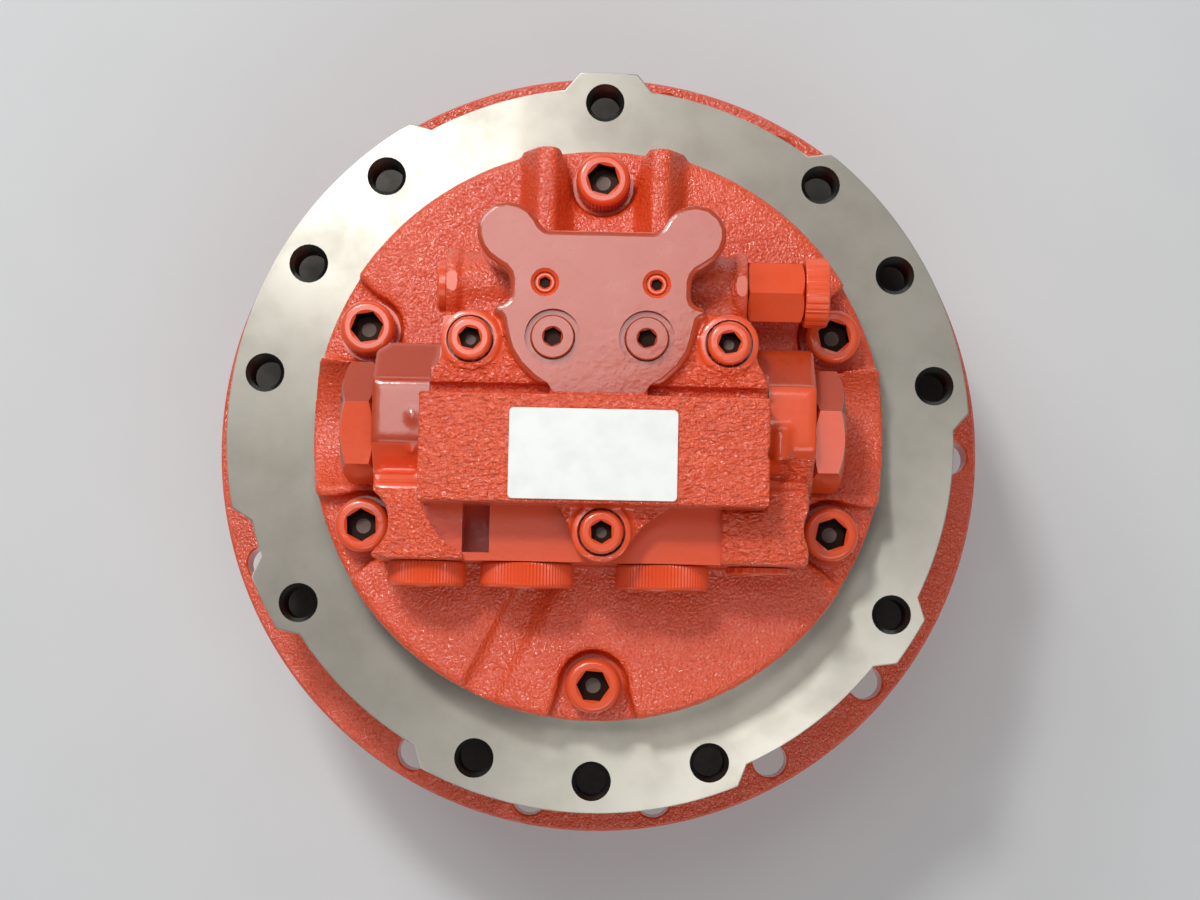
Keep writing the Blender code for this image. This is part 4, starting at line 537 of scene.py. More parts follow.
def oily_iron():
    """Painted shade: nearly black iron on the flange's top under the frame ring, standing in for the shade
    seen through the ring's holes.
    """
    return metal("oily_iron", "#3A3835", "#24221F", 0.5, 0.08, 0, 1.4, 0.06, False)


def ground_shaft_steel():
    """A ground shaft or spool: bright and nearly smooth."""
    return metal("ground_shaft_steel", "#B9BBB8", "#A4A6A3", 0.22, 0.05, 0.3, 0.3, 0.003, True)


def hardened_gear_steel():
    """Case-hardened gear steel, shot-peened: even grey with a soft grain."""
    return metal("hardened_gear_steel", "#9A9B98", "#7F817E", 0.4, 0.06, 0, 0.7, 0.02, False)


def chrome_bearing_steel():
    """Chrome bearing steel, polished rings with an oil film."""
    return metal("chrome_bearing_steel", "#C4C6C6", "#AEB1B1", 0.18, 0.05, 0.3, 0.3, 0.003, True)


def black_oxide_steel():
    """Black-oxide steel: near black with worn, slightly brown patches."""
    return metal("black_oxide_steel", "#3A3A3A", "#4A4540", 0.42, 0.08, 0, 0.9, 0.02, False)


def valve_bronze():
    """Leaded bronze, faced and run in: warm yellow-brown with fine rings."""
    return metal("valve_bronze", "#B98A4E", "#96703F", 0.3, 0.06, 0.3, 0.4, 0.004, True)


def pressed_matter(name, colours, roughness, grain, depth):
    """A dull pressed or printed material without metal in it."""
    material, tree, place = new_material(name)
    speck = specks(tree, grain, place, 4)
    links = {
        "Base Color": blended(tree, spread(tree, speck, 0.4, 0.66, 0, 1), *colours),
        "Normal": raised(tree, speck, depth),
    }
    return shaded(material, {"Roughness": roughness, "IOR": 1.47}, links)


def dusted(colour, share):
    """A colour, and the same colour with this share of its light."""
    return [*colour, 1], [*(channel * share for channel in colour), 1]


def brake_lining():
    """Pressed fibre and resin of a brake disc: brown-black and matt, with pale fibre specks."""
    return pressed_matter("brake_lining", (hex_colour("#3D332B"), hex_colour("#5A4B3E")), 0.8, 0.9, 0.05)


def label_film():
    """Blank white polyester film: nearly even, with a soft gloss and a trace of dust."""
    colours = dusted(bpy.context.scene.final_drive_colours.label, 0.93)
    return pressed_matter("label_film", colours, 0.34, 9, 0.01)


def studio_paper():
    """The pale matt paper that the drive stands on."""
    colours = dusted(bpy.context.scene.final_drive_colours.floor, 0.985)
    return pressed_matter("studio_paper", colours, 0.9, 60, 0)


LOOKS = {
    "red_enamel": sand_cast_enamel,
    "red_plastic_cap": moulded_cap_plastic,
    "turned_steel": faced_iron,
    "ground_steel": ground_shaft_steel,
    "gear_steel": hardened_gear_steel,
    "bearing_steel": chrome_bearing_steel,
    "black_steel": black_oxide_steel,
    "friction_lining": brake_lining,
    "bronze": valve_bronze,
    "plain_label": label_film,
}

PAINTED = (
    sand_cast_enamel, wrinkled_cast_enamel, machined_enamel,
    oiled_socket_steel, socket_floor_steel, painted_shade_enamel,
)


def look(maker):
    """The material that a function makes, made once."""
    return bpy.data.materials.get(maker.__name__) or maker()


def painted():
    """The materials of a painted piece, in the order of its places."""
    return [look(maker) for maker in PAINTED]


# Outlines of the castings, read from the photo at the height of each face

EAR_RIGHT = [
    (19, 66), (21.2, 66.6), (23.3, 68.3), (25, 71.2), (27.4, 74), (30.6, 75.8), (34.2, 76.4),
    (38.2, 75.5), (41.6, 72.8), (43.4, 69.2), (43.4, 65.6), (42.2, 62), (40, 59.1), (36.9, 56.9),
    (33.6, 54.9), (31.7, 52.4), (31, 49.6), (30.9, 44.2), (31.7, 41.4), (33.8, 39.6), (37, 38.7),
]
DIAGONAL_RIGHT = [
    (38, 38.7), (35.6, 38), (34, 36.4), (33.1, 32.4), (32.2, 28.2), (30.8, 24.2), (27.6, 19.4),
    (22.9, 15), (18.4, 12), (16.5, 9),
]
SHOULDER_RIGHT = [
    (38.7, 38.9), (47.4, 38.9), (51.2, 37.9), (54.4, 35.2), (56.4, 31.4), (56.6, 26), (57.4, 21.6),
    (60, 17.2), (61.3, 12.6), (61.3, 6),
]


def mirrored(points):
    return [(-x, y) for x, y in reversed(points)]


def plate_outline():
    """The milled T-shaped face: ears at the back, waist, and a front edge that narrows between the bosses."""
    return mirrored(DIAGONAL_RIGHT) + mirrored(EAR_RIGHT) + EAR_RIGHT + DIAGONAL_RIGHT


def widened(outline, width):
    """An outline moved outwards everywhere by this width."""
    points = []
    for i, (x, y) in enumerate(outline):
        (back_x, back_y), (next_x, next_y) = outline[i - 1], outline[(i + 1) % len(outline)]
        along = Vector((next_x - back_x, next_y - back_y)).normalized()
        points.append((x - along.y * width, y + along.x * width))
    return points


def shoulder_outline():
    """The rough web round the two back screws, out to the sides of the label's block."""
    inner = [(x - 3, y) for x, y in reversed(DIAGONAL_RIGHT)]
    return inner + [(33, 39.5)] + SHOULDER_RIGHT


def pocket_outline():
    """An arch pocket round a cover screw, open towards the rim along +X."""
    arc = [polar(13.4, turn) for turn in range(90, 271, 15)]
    return [(22, 19.5), (12, 16.8), (4, 14.2)] + arc + [(4, -14.2), (12, -16.8), (22, -19.5)]


# Operators


COLOUR = {"subtype": "COLOR", "size": 3, "min": 0, "max": 1}


class FinalDriveColours(bpy.types.PropertyGroup):
    enamel: FloatVectorProperty(
        name="Enamel",
        description="Colour of the sprayed gloss enamel",
        default=hex_colour("#EC5323")[:3], **COLOUR,
    )
    label: FloatVectorProperty(
        name="Label",
        description="Colour of the blank label",
        default=hex_colour("#F1F3EE")[:3], **COLOUR,
    )
    floor: FloatVectorProperty(
        name="Floor",
        description="Colour of the floor",
        default=hex_colour("#DADCDC")[:3], **COLOUR,
    )


class FinalDriveSizes(bpy.types.PropertyGroup):
    cast_step: FloatProperty(
        name="Casting Step",
        description="Face size of the castings' skin before their machined faces are cut",
        default=0.00115, min=0.0005, unit="LENGTH",
    )
    cast_passes: IntProperty(
        name="Casting Softness",
        description="How often the castings' skin is smoothed",
        default=6, min=0,
    )
    screw_ribs: IntProperty(
        name="Screw Knurl",
        description="Ridges round the head of a cover screw",
        default=44, min=12,
    )
    cap_ribs: IntProperty(
        name="Cap Ribs",
        description="Ribs round a main port's dust cap",
        default=84, min=12,
    )
    edge: FloatProperty(
        name="Edge Break",
        description="Chamfer on the machined edges",
        default=0.0006, min=0, unit="LENGTH",
    )


def arc(radius, start, end):
    """Points about two degrees apart from start to end."""
    steps = max(2, round((end - start) / 2))
    return [polar(radius, start + (end - start) * k / steps) for k in range(steps + 1)]


def frame_outline():
    """The frame flange's edge: high on its lobes, lower between them, with a short slope at each change."""
    lobes = ((5, 52), (85, 94), (122, 192), (203, 212), (243, 293), (324, 332))
    slope = 2.6
    points = []
    for i, (start, end) in enumerate(lobes):
        following = lobes[(i + 1) % len(lobes)][0] + (360 if i + 1 == len(lobes) else 0)
        points += arc(147.5, start, end) + arc(141, end + slope, following - slope)
    return points


def tapped_hole(radius, bottom, top, mouth):
    """A cutter for a tapped hole with a countersunk mouth at its top."""
    pitch = 2
    root = radius - 0.9
    profile = [(0, bottom), (root, bottom)]
    height = bottom
    while height + pitch < top - mouth:
        profile += [(root, height + 0.2), (radius, height + pitch / 2), (root, height + pitch - 0.2)]
        height += pitch
    profile += [(root, top - mouth - 0.6), (radius + mouth, top), (radius + mouth, top + 2), (0, top + 2)]
    return spun(profile, 28, TAPPED)


class FINALDRIVE_OT_case(bpy.types.Operator):
    """The fixed case: neck, bearing seats and the bare frame flange with its tapped holes"""

    bl_idname = "final_drive.case"
    bl_label = "Case"

    def execute(self, context):
        sizes = context.scene.final_drive_sizes
        looks = [look(faced_iron), look(tapped_steel)]
        neck = [
            (0, CASE_TOP), (110.2, CASE_TOP), (110.7, CASE_TOP - 0.5), (110.7, 187.3), (112.6, 187.3),
            (112.6, 165.3), (108.2, 165.3), (108.2, 171.8), (93.5, 171.8), (93.5, 154.2), (84.7, 154.2),
            (84.7, CASE_BOTTOM + 0.8), (83.9, CASE_BOTTOM), (0, CASE_BOTTOM),
        ]
        ring = prism(frame_outline(), RING_BACK, RING_FACE)
        eased(ring, sizes.edge / MM)
        made = to_object("steel_case", spun(neck, 128), looks)
        combined(made, "UNION", [ring])
        cavity = [
            (0, CASE_TOP + 2), (62.8, CASE_TOP + 2), (62.8, 169), (59.3, 169), (59.3, 161), (52, 161),
            (52, 122.3), (31.2, 122.3), (31.2, 106.3), (15.5, 106.3), (15.5, 90), (0, 90),
        ]
        cutters = [spun(cavity, 64)]
        for angle in FRAME_HOLES:
            x, y = polar(FRAME_CIRCLE, angle)
            cutters.append(moved(tapped_hole(7, RING_BACK - 1, RING_FACE, 0.75), x, y))
        for radius, angle in COVER_SCREWS:
            cutters.append(drum(7.1, SCREW_SEAT - 38, CASE_TOP + 2, polar(radius, angle), 24, TAPPED))
        for angle in (30, 150, 270):
            cutters.append(drum(14.3, 90, CASE_BOTTOM + 18.3, polar(PIN_CIRCLE, angle), 24, TAPPED))
        cut(made, cutters)
        finished(made, "motor_case")
        return {"FINISHED"}


def inner_part(node, radius, looks):
    """A copy of a solid, cut down to what lies within this radius of the axis."""
    shape = bmesh.new()
    shape.from_mesh(frame["nodes"][node].data)
    last = len(looks) - 1
    made = to_object(f"{node}_dressed", closed(shape, last), looks)
    return combined(made, "INTERSECT", [drum(radius, -5, ABOVE, steps=160, look=last)])


class FINALDRIVE_OT_hub(bpy.types.Operator):
    """The turning hub: gear ring, sprocket flange with its bolt holes, and the bearing bore"""

    bl_idname = "final_drive.hub"
    bl_label = "Hub"

    def execute(self, context):
        looks = painted() + [look(oily_iron), look(hardened_gear_steel)]
        made = inner_part("hub", 118.5, looks)
        # Painted shade: a dark band on the flange's top under the frame ring; it lies a little off the axis,
        # towards the front
        shade_band_radius = 150.2
        shade_band_offset = Vector((0, 5.1 * MM, 0))
        outside = [
            (118, 5), (123.4, 5), (126.05, 7.6), (126.05, 21.5), (125.4, 22.1), (125.4, 23.1),
            (126.05, 23.7), (126.05, 116), (127, 118.6), (129.4, 120.3), (158.5, 120.3),
            (159.5, 121.3), (159.5, 135.3), (158.5, FLANGE_TOP), (shade_band_radius, FLANGE_TOP),
            (128.4, FLANGE_TOP), (124.8, 137.4), (122.9, 140), (122.3, 143.4), (122.3, 173.5),
            (121.5, 174.3), (118, 174.3),
        ]
        turned = spun(outside, 192)
        for corner in turned.verts:
            if abs(corner.co.xy.length - shade_band_radius * MM) < MERGE:
                corner.co += shade_band_offset
        combined(made, "UNION", [turned])
        cutters = []
        for angle in SPROCKET_HOLES:
            x, y = polar(SPROCKET_CIRCLE, angle)
            hole = [(0, 118), (7.2, 118), (7.2, 135.5), (8.4, 136.7), (0, 136.7)]
            cutters.append(moved(spun(hole, 40, MACHINED), x, y))
        cut(made, cutters)
        # Faces of the flange's top within the band get the nearly black iron: painted shade
        for face in made.data.polygons:
            on_top = abs(face.center.z - FLANGE_TOP * MM) < MERGE
            if on_top and (face.center - shade_band_offset).xy.length < 150 * MM:
                face.material_index = len(PAINTED)
        finished(made, "hub", "hub")
        return {"FINISHED"}


class FINALDRIVE_OT_end_cover(bpy.types.Operator):
    """The end cover below: its turned casting, the wire ring that holds it and its three oil plugs"""

    bl_idname = "final_drive.end_cover"
    bl_label = "End Cover"

    def execute(self, context):
        profile = [
            (0, 24), (15.4, 24), (16, 23.4), (16, 12), (74, 12), (74, 24), (112.2, 24),
            (113.05, 23.2), (113.05, 12), (105.25, 12), (86, 12), (82.6, 10.8), (79.4, 4.4),
            (76.6, 1.2), (72.6, 0), (30, 0), (28, 0.8), (0, 0.8),
        ]
        made = to_object("end_cover_dressed", spun(profile, 160), painted())
        cutters = []
        for place in (polar(OIL_PLUG_CIRCLE, angle) for angle in (90, 180, 270)):
            for radius, top, steps in ((13.2, 0.4, 48), (11.3, 6.3, 48), (8.3, 14, 32)):
                cutters.append(drum(radius, -1, top, place, steps))
        cut(made, cutters)
        finished(made, "end_cover", "hub")
        black = [look(black_oxide_steel)]
        wire = to_object("wire_ring", spun(wire_section(113.9, 9.9, 1.8), 160), black)
        finished(wire, "cover_snap_ring", "hub")
        plug = [(0, 12), (7.4, 12), (8, 11.4), (8, 5.6), (11, 5.6), (11, 1.6), (10.4, 1), (0, 1)]
        for word, angle in (("fill", 90), ("level", 180), ("drain", 270)):
            mouth = spun([(0, 0), (5.8, 0), (4.4, 2.2), (0, 2.2)], 40)
            made = to_object(f"oil_{word}_plug_dressed", spun(plug, 64), black)
            cut(made, [hexagon_bar(5, -6, 6), mouth])
            x, y = polar(OIL_PLUG_CIRCLE, angle)
            made.data.transform(Matrix.Translation(Vector((x, y, 0)) * MM))
            finished(made, f"oil_{word}_plug", "hub")
        return {"FINISHED"}


def wire_section(radius, height, half):
    """A round wire's section, as points round its middle."""
    return [(radius + x, height + y) for x, y in (polar(half, turn) for turn in range(0, 360, 30))]


def screw_shape(radius, head, height, length, socket, ribs):
    """A socket head cap screw from its tip up, its head's underside at height 0."""
    groove = head * 0.04
    rings = [
        (radius * 0.8, -length), (radius, -length + radius * 0.2), (radius, 0), (head * 0.95, 0),
        (head, head - groove, head * 0.05), (head, head - groove, height - head * 0.24),
        (head * 0.985, head * 0.975, height - head * 0.17), (head * 0.94, height - head * 0.08),
        (head * 0.87, height - head * 0.02), (head * 0.78, height),
    ]
    floor = height * 0.4
    low, high = height - 0.9, height + 0.6
    mouth = [(0, low), (socket * 0.86, low), (socket + 1.1, high), (0, high)]
    point = [(0, floor - 0.9), (socket * 0.46, floor - 0.7), (socket * 0.46, floor + 0.2), (0, floor + 0.2)]
    cutters = [
        # The socket's walls get the nearly black steel: painted shade of the deep recess
        hexagon_bar(socket, floor, height + 2, DARK),
        spun(mouth, 40, MACHINED),
        spun(point, 24, SOCKET_FLOOR),
    ]
    return ribbed(rings, ribs, MACHINED), cutters


class FINALDRIVE_OT_screws(bpy.types.Operator):
    """The socket head screws of the rear cover and of the valve block, sprayed over with the rest"""

    bl_idname = "final_drive.screws"
    bl_label = "Screws"

    def execute(self, context):
        sizes = context.scene.final_drive_sizes
        cover_places = [polar(*place) for place in COVER_SCREWS]
        kinds = (
            ("cover_screw", cover_places, SCREW_SEAT, (6.8, 10.5, 14, 36, 6.3), 1),
            ("block_screw", BLOCK_SCREWS, BLOCK_SEAT, (4.8, 8, 10, 34, 4.2), 0.8),
        )
        for word, places, seat, measures, share in kinds:
            shape, cutters = screw_shape(*measures, round(sizes.screw_ribs * share))
            pattern = to_object(f"{word}_pattern", shape, painted())
            cut(pattern, cutters)
            for i, (x, y) in enumerate(places):
                screw = bpy.data.objects.new(f"{word}_dressed_{i + 1}", pattern.data.copy())
                context.scene.collection.objects.link(screw)
                turn = Matrix.Rotation(math.radians(17 + 23 * i), 4, "Z")
                screw.data.transform(Matrix.Translation(Vector((x, y, seat + 0.3)) * MM) @ turn)
                finished(screw, f"{word}_{i + 1}")
            mesh = pattern.data
            bpy.data.objects.remove(pattern)
            bpy.data.meshes.remove(mesh)
        return {"FINISHED"}


# Where the casting's collars and pads are smoother or rougher than its sand skin, and where the collars'
# facets take the darker enamel as painted shade
COVER_ZONES = (
    ((-84, -25.6, 226), (-65.4, -9.3, 270), MACHINED),
    ((-84, -9.3, 226), (-65.4, 31, 270), SHADE_ENAMEL),
    ((-66, 9, 226), (-55.8, 31, 270), SHADE_ENAMEL),
    ((53.8, 14.2, 226), (81, 31, 270), SHADE_ENAMEL),
    ((62.3, -12, 226), (81, 14.2, 270), MACHINED),
    ((62.3, -25.6, 226), (67, -12, 270), MACHINED),
    ((67, -25.6, 226), (81, -12, 270), COARSE),
    ((-84, -60, 226), (-40, -25.6, 270), COARSE),
    ((45.8, -60, 226), (81, -25.6, 270), COARSE),
)


class FINALDRIVE_OT_rear_cover(bpy.types.Operator):
    """The rear cover: a sand casting with the port body, collars, pilot bosses, ribs and screw pockets"""

    bl_idname = "final_drive.rear_cover"
    bl_label = "Rear Cover"

    def execute(self, context):
        sizes = context.scene.final_drive_sizes
        disc = [(0, COVER_BACK), (111, COVER_BACK)]
        disc += [(111, COVER_FACE - 1.6), (109.4, COVER_FACE), (0, COVER_FACE)]
        rough = [spun(disc, 144)]
        body = [(-82, PORT_FRONT), (77.5, PORT_FRONT), (77.5, -20), (62.5, -20), (62.5, 7), (57, 22)]
        body += [(56, 39), (31.5, 39), (31.5, 56)] + EAR_RIGHT[12:2:-1]
        body += [(-x, y) for x, y in EAR_RIGHT[3:13]]
        body += [(-31.5, 56), (-31.5, 39), (-58, 39), (-59, 22), (-65, 7), (-65, -20), (-82, -20)]
        rough.append(prism(body, 214, BODY_TOP + 1.5))
        left_pad = [(-82, PORT_FRONT), (-42, PORT_FRONT), (-42, -24), (-82, -24)]
        right_pad = [(45.8, PORT_FRONT), (77.8, PORT_FRONT)]
        right_pad += [(77.8, -24), (62.4, -24), (62.4, -32), (45.8, -32)]
        rough += [prism(pad, 250, PAD_TOP, 0.6, COARSE) for pad in (left_pad, right_pad)]
        rough += [octagon_bar(COLLAR_LEFT, -56), octagon_bar(54, COLLAR_RIGHT)]
        rough.append(laid(drum(1.5, 0, 14.5), (-68, 1.8, 267), (0, -1, -0.15)))
        rough.append(laid(drum(3.4, 0, 12), (67, -1.6, 266.6), (0, -1, 0)))
        for radius, start, length in ((13, PILOT_LEFT, 112), (14.6, PILOT_LEFT, 4.6), (14.6, 50.1, 4.4)):
            rough.append(laid(drum(radius, 0, length), (start, PILOT_Y, PILOT_LEVEL), (1, 0, 0)))
        rough.append(block((-54, 36, 214), (51, PILOT_Y + 12, PILOT_LEVEL)))
        rough += [block((low, 40.5, 240), (low + 19, 54.5, 259.3)) for low in (-50.2, 30.4)]
        for x in (-21.6, 22):
            slopes = [(10.4, 214), (10, 225), (3.2, 236.3), (-3.2, 236.3), (-10, 225), (-10.4, 214)]
            ridge = prism([(x + across, -height) for across, height in slopes], 60, 108.6)
            rough.append(turned_about(ridge, -90, "X"))
        made = to_object("cast_rear_cover", gathered(rough), painted())
        sand = []
        for radius, angle in COVER_SCREWS:
            x, y = polar(radius, angle)
            sand.append(moved(turned_about(prism(pocket_outline(), SCREW_SEAT, ABOVE), angle), x, y))
        for radius, rise, x, y in ((4.6, 1.3, -22.6, -52.5), (12, 8.9, -19.2, -54.2)):
            groove = drum(radius, 0, 72, steps=64)
            sand.append(laid(groove, (x, y, COVER_FACE + rise), (-0.453, -0.892, 0)))
        for far, near in ((-120, COLLAR_LEFT), (COLLAR_RIGHT, 120)):
            sand.append(laid(drum(28.6, 0, near - far, steps=96), (far, 1.2, SPOOL_LEVEL), (1, 0, 0)))
        cut(made, sand)
        cast(made, sizes.cast_step, sizes.cast_passes, 0.55)
        zoned(made, *COVER_ZONES)
        self.mill(made)
        finished(made, "rear_cover")
        return {"FINISHED"}

    def mill(self, made):
        """Cuts the faces and bores that a machine cut in the casting."""
        milled = [
            (-64.8, -26), (-64.8, -29.9), (-61.3, -36.5), (-57.1, -43.2), (-53.6, -46.5), (-48.8, -48.7),
            (-46.6, -60), (45.8, -60), (45.8, -26),
        ]
        behind = [(-64.8, -26.5), (62.3, -26.5), (62.3, 90), (-61.9, 90), (-61.9, 8.6), (-64.8, 8.6)]
        cuts = [
            prism(milled, BODY_TOP, ABOVE, 0, MACHINED),
            prism(behind, BODY_TOP, ABOVE, 0, MACHINED),
            block((-49, -48.5, 240.3), (-39, -31, ABOVE), MACHINED),
            block((-120, -120, 190), (120, 120, COVER_BACK), MACHINED),
        ]
        for radius, angle in COVER_SCREWS:
            place = polar(radius, angle)
            cuts.append(drum(7.1, 190, 230, place, 24))
            cuts.append(drum(11.8, SCREW_SEAT, 232, place, 48))
        cuts.append(laid(drum(14, 0, 169), (-86, 0, SPOOL_LEVEL), (1, 0, 0)))
        for x, side in ((COLLAR_LEFT, -1), (COLLAR_RIGHT, 1)):
            cuts.append(laid(drum(17.3, -3, 12.3), (x, 0, SPOOL_LEVEL), (-side, 0, 0)))
        for x, side in ((PILOT_LEFT, -1), (PILOT_RIGHT, 1)):
            cuts.append(laid(drum(7.3, -3, 10.3), (x, PILOT_Y, PILOT_LEVEL), (-side, 0, 0)))
        for x, radius, _ in PORT_CAPS.values():
            cuts.append(laid(drum(radius - 4.7, -3, 10.3), (x, PORT_FRONT, PORT_LEVEL), (0, 1, 0)))
        for x, y in BLOCK_SCREWS:
            cuts.append(drum(5.1, BLOCK_SEAT - 36, ABOVE, (x, y), 24))
        cuts.append(drum(19.3, 190, 220.3, steps=48))
        cut(made, cuts)


class FINALDRIVE_OT_valve_block(bpy.types.Operator):
    """The valve block: milled T-shaped face, rough label block, screw bosses and webs in one casting"""

    bl_idname = "final_drive.valve_block"
    bl_label = "Valve Block"

    def execute(self, context):
        sizes = context.scene.final_drive_sizes
        foot = BLOCK_BACK - 1.5
        shoulders = shoulder_outline()
        label_block = [(-64, -31.4), (61.5, -31.4), (61.5, 7.9), (-64, 7.9)]
        web = [
            (-14.5, -30), (-11.5, -36), (-9.4, -41), (-6, -48), (2, -51.2), (9.5, -48.6),
            (13.4, -43), (17.5, -38), (22.5, -34.4), (29, -30),
        ]
        rough = [
            prism(widened(plate_outline(), 1.7), foot, PLATE_TOP - 0.2, 0, MACHINED),
            prism(label_block, foot, LABEL_BLOCK_TOP + 0.1, 0.5, COARSE),
            prism(shoulders, foot, 277.6, 0, COARSE),
            prism(mirrored(shoulders), foot, 277.6, 0, COARSE),
            *(drum(10.9, foot, BOSS_TOP, place, 40, COARSE) for place in BLOCK_SCREWS),
            prism(web, foot, 276.8, 0, COARSE),
        ]
        made = to_object("cast_valve_block", gathered(rough), painted())
        groove = [
            block((-70, 8.2, 273.4), (-17.5, 12.2, ABOVE), COARSE),
            block((17.5, 8.2, 273.4), (70, 12.2, ABOVE), COARSE),
            drum(3.2, 250, ABOVE, (63.9, -12.2), 32, COARSE),
        ]
        cut(made, groove)
        cast(made, sizes.cast_step * 0.72, sizes.cast_passes, 0.7)
        # The plate's face and the walls behind it get the darker enamel: painted shade
        zoned(
            made,
            ((-70, -40, 200), (70, 90, ABOVE), COARSE),
            ((-70, 12.4, 279.6), (70, 90, 284), SHADE_ENAMEL),
            ((-70, 38.5, 262), (70, 90, 284), SHADE_ENAMEL),
            *(((x - 11.6, y - 8, 276), (x + 11.6, y + 11.6, 281), MACHINED) for x, y in BLOCK_SCREWS),
        )
        # The milled face gets the darker enamel: painted shade
        plate = eased(prism(plate_outline(), PLATE_TOP - 3.2, PLATE_TOP, 0, SHADE_ENAMEL), 0.45)
        combined(made, "UNION", [plate])
        self.mill(made)
        finished(made, "valve_block")
        return {"FINISHED"}

    def mill(self, made):
        cuts = [block((-120, -120, 240), (120, 120, BLOCK_BACK), MACHINED)]
        for place in BLOCK_SCREWS:
            cuts.append(drum(8.7, BLOCK_SEAT, ABOVE, place, 48))
            cuts.append(drum(5.1, 250, 280, place, 24))
        for side in (-1, 1):
            shuttle = (side * SHUTTLE_PLUG[0], SHUTTLE_PLUG[1])
            gauge = (side * GAUGE_PLUG[0], GAUGE_PLUG[1])
            cuts.append(drum(10.1, PLATE_TOP - 2.4, PLATE_TOP + 2, shuttle, 56, SHADE_ENAMEL))
            # The narrow hole round the shuttle plug gets the nearly black steel: painted shade of the gap
            cuts.append(drum(8.1, PLATE_TOP - 10.3, PLATE_TOP + 2, shuttle, 48, DARK))
            cuts.append(drum(4, PLATE_TOP - 7.3, PLATE_TOP + 0.01, gauge, 40, MACHINED, 1.2))
        cut(made, cuts)


class FINALDRIVE_OT_plugs(bpy.types.Operator):
    """The flush plugs in the milled face and the blank label"""

    bl_idname = "final_drive.plugs"
    bl_label = "Plugs and Label"

    def execute(self, context):
        for side, word in ((-1, "left"), (1, "right")):
            plugs = (
                (f"shuttle_plug_{word}", 7.9, 10, 3.5, PLATE_TOP, SHUTTLE_PLUG, 4.5, SHADE_ENAMEL),
                (f"gauge_plug_{word}", 3.7, 6, 2.2, PLATE_TOP - 1, GAUGE_PLUG, 2.5, MACHINED),
            )
            for name, radius, depth, socket, top, (x, y), reach, finish in plugs:
                profile = [(0, -depth), (radius, -depth), (radius, -0.5), (radius - 0.5, 0), (0, 0)]
                made = to_object(f"{name}_dressed", spun(profile, 56, finish), painted())
                key = turned_about(hexagon_bar(socket, -reach, reach, DARK), 20 + 25 * side)
                mouth = spun([(0, -0.7), (socket * 0.87, -0.7), (socket + 0.9, 0.5), (0, 0.5)], 40, finish)
                cut(made, [key, mouth])
                made.data.transform(Matrix.Translation(Vector((side * x, y, top)) * MM))
                finished(made, name)
        label = [(-31.6, -30), (28.6, -30), (28.6, 2.5), (-31.6, 2.5)]
        sheet = eased(prism(label, LABEL_BLOCK_TOP + 0.3, LABEL_TOP, 1.6), 0.2)
        finished(to_object("blank_label", sheet, [look(label_film)]), "data_plate")
        return {"FINISHED"}


def hexagon_cap(name, radius, length, stem, degrees, place, side):
    """A hexagon cap with cones at its corners, on its stem, laid from place along X."""
    bottom, top = 0.3, length + 0.3
    blank = [
        (0, bottom), (radius * 0.9, bottom), (radius + 0.2, bottom + radius * 0.06),
        (radius + 0.2, top - radius * 0.1), (radius * 0.84, top), (0, top),
    ]
    shapes = (hexagon_bar(radius, bottom, top, MACHINED), spun(blank, 48, MACHINED), stem)
    bar, cones, shank = [laid(turned_about(shape, degrees), place, (side, 0, 0)) for shape in shapes]
    made = to_object(name, bar, painted())
    combined(made, "INTERSECT", [cones])
    return combined(made, "UNION", [shank])


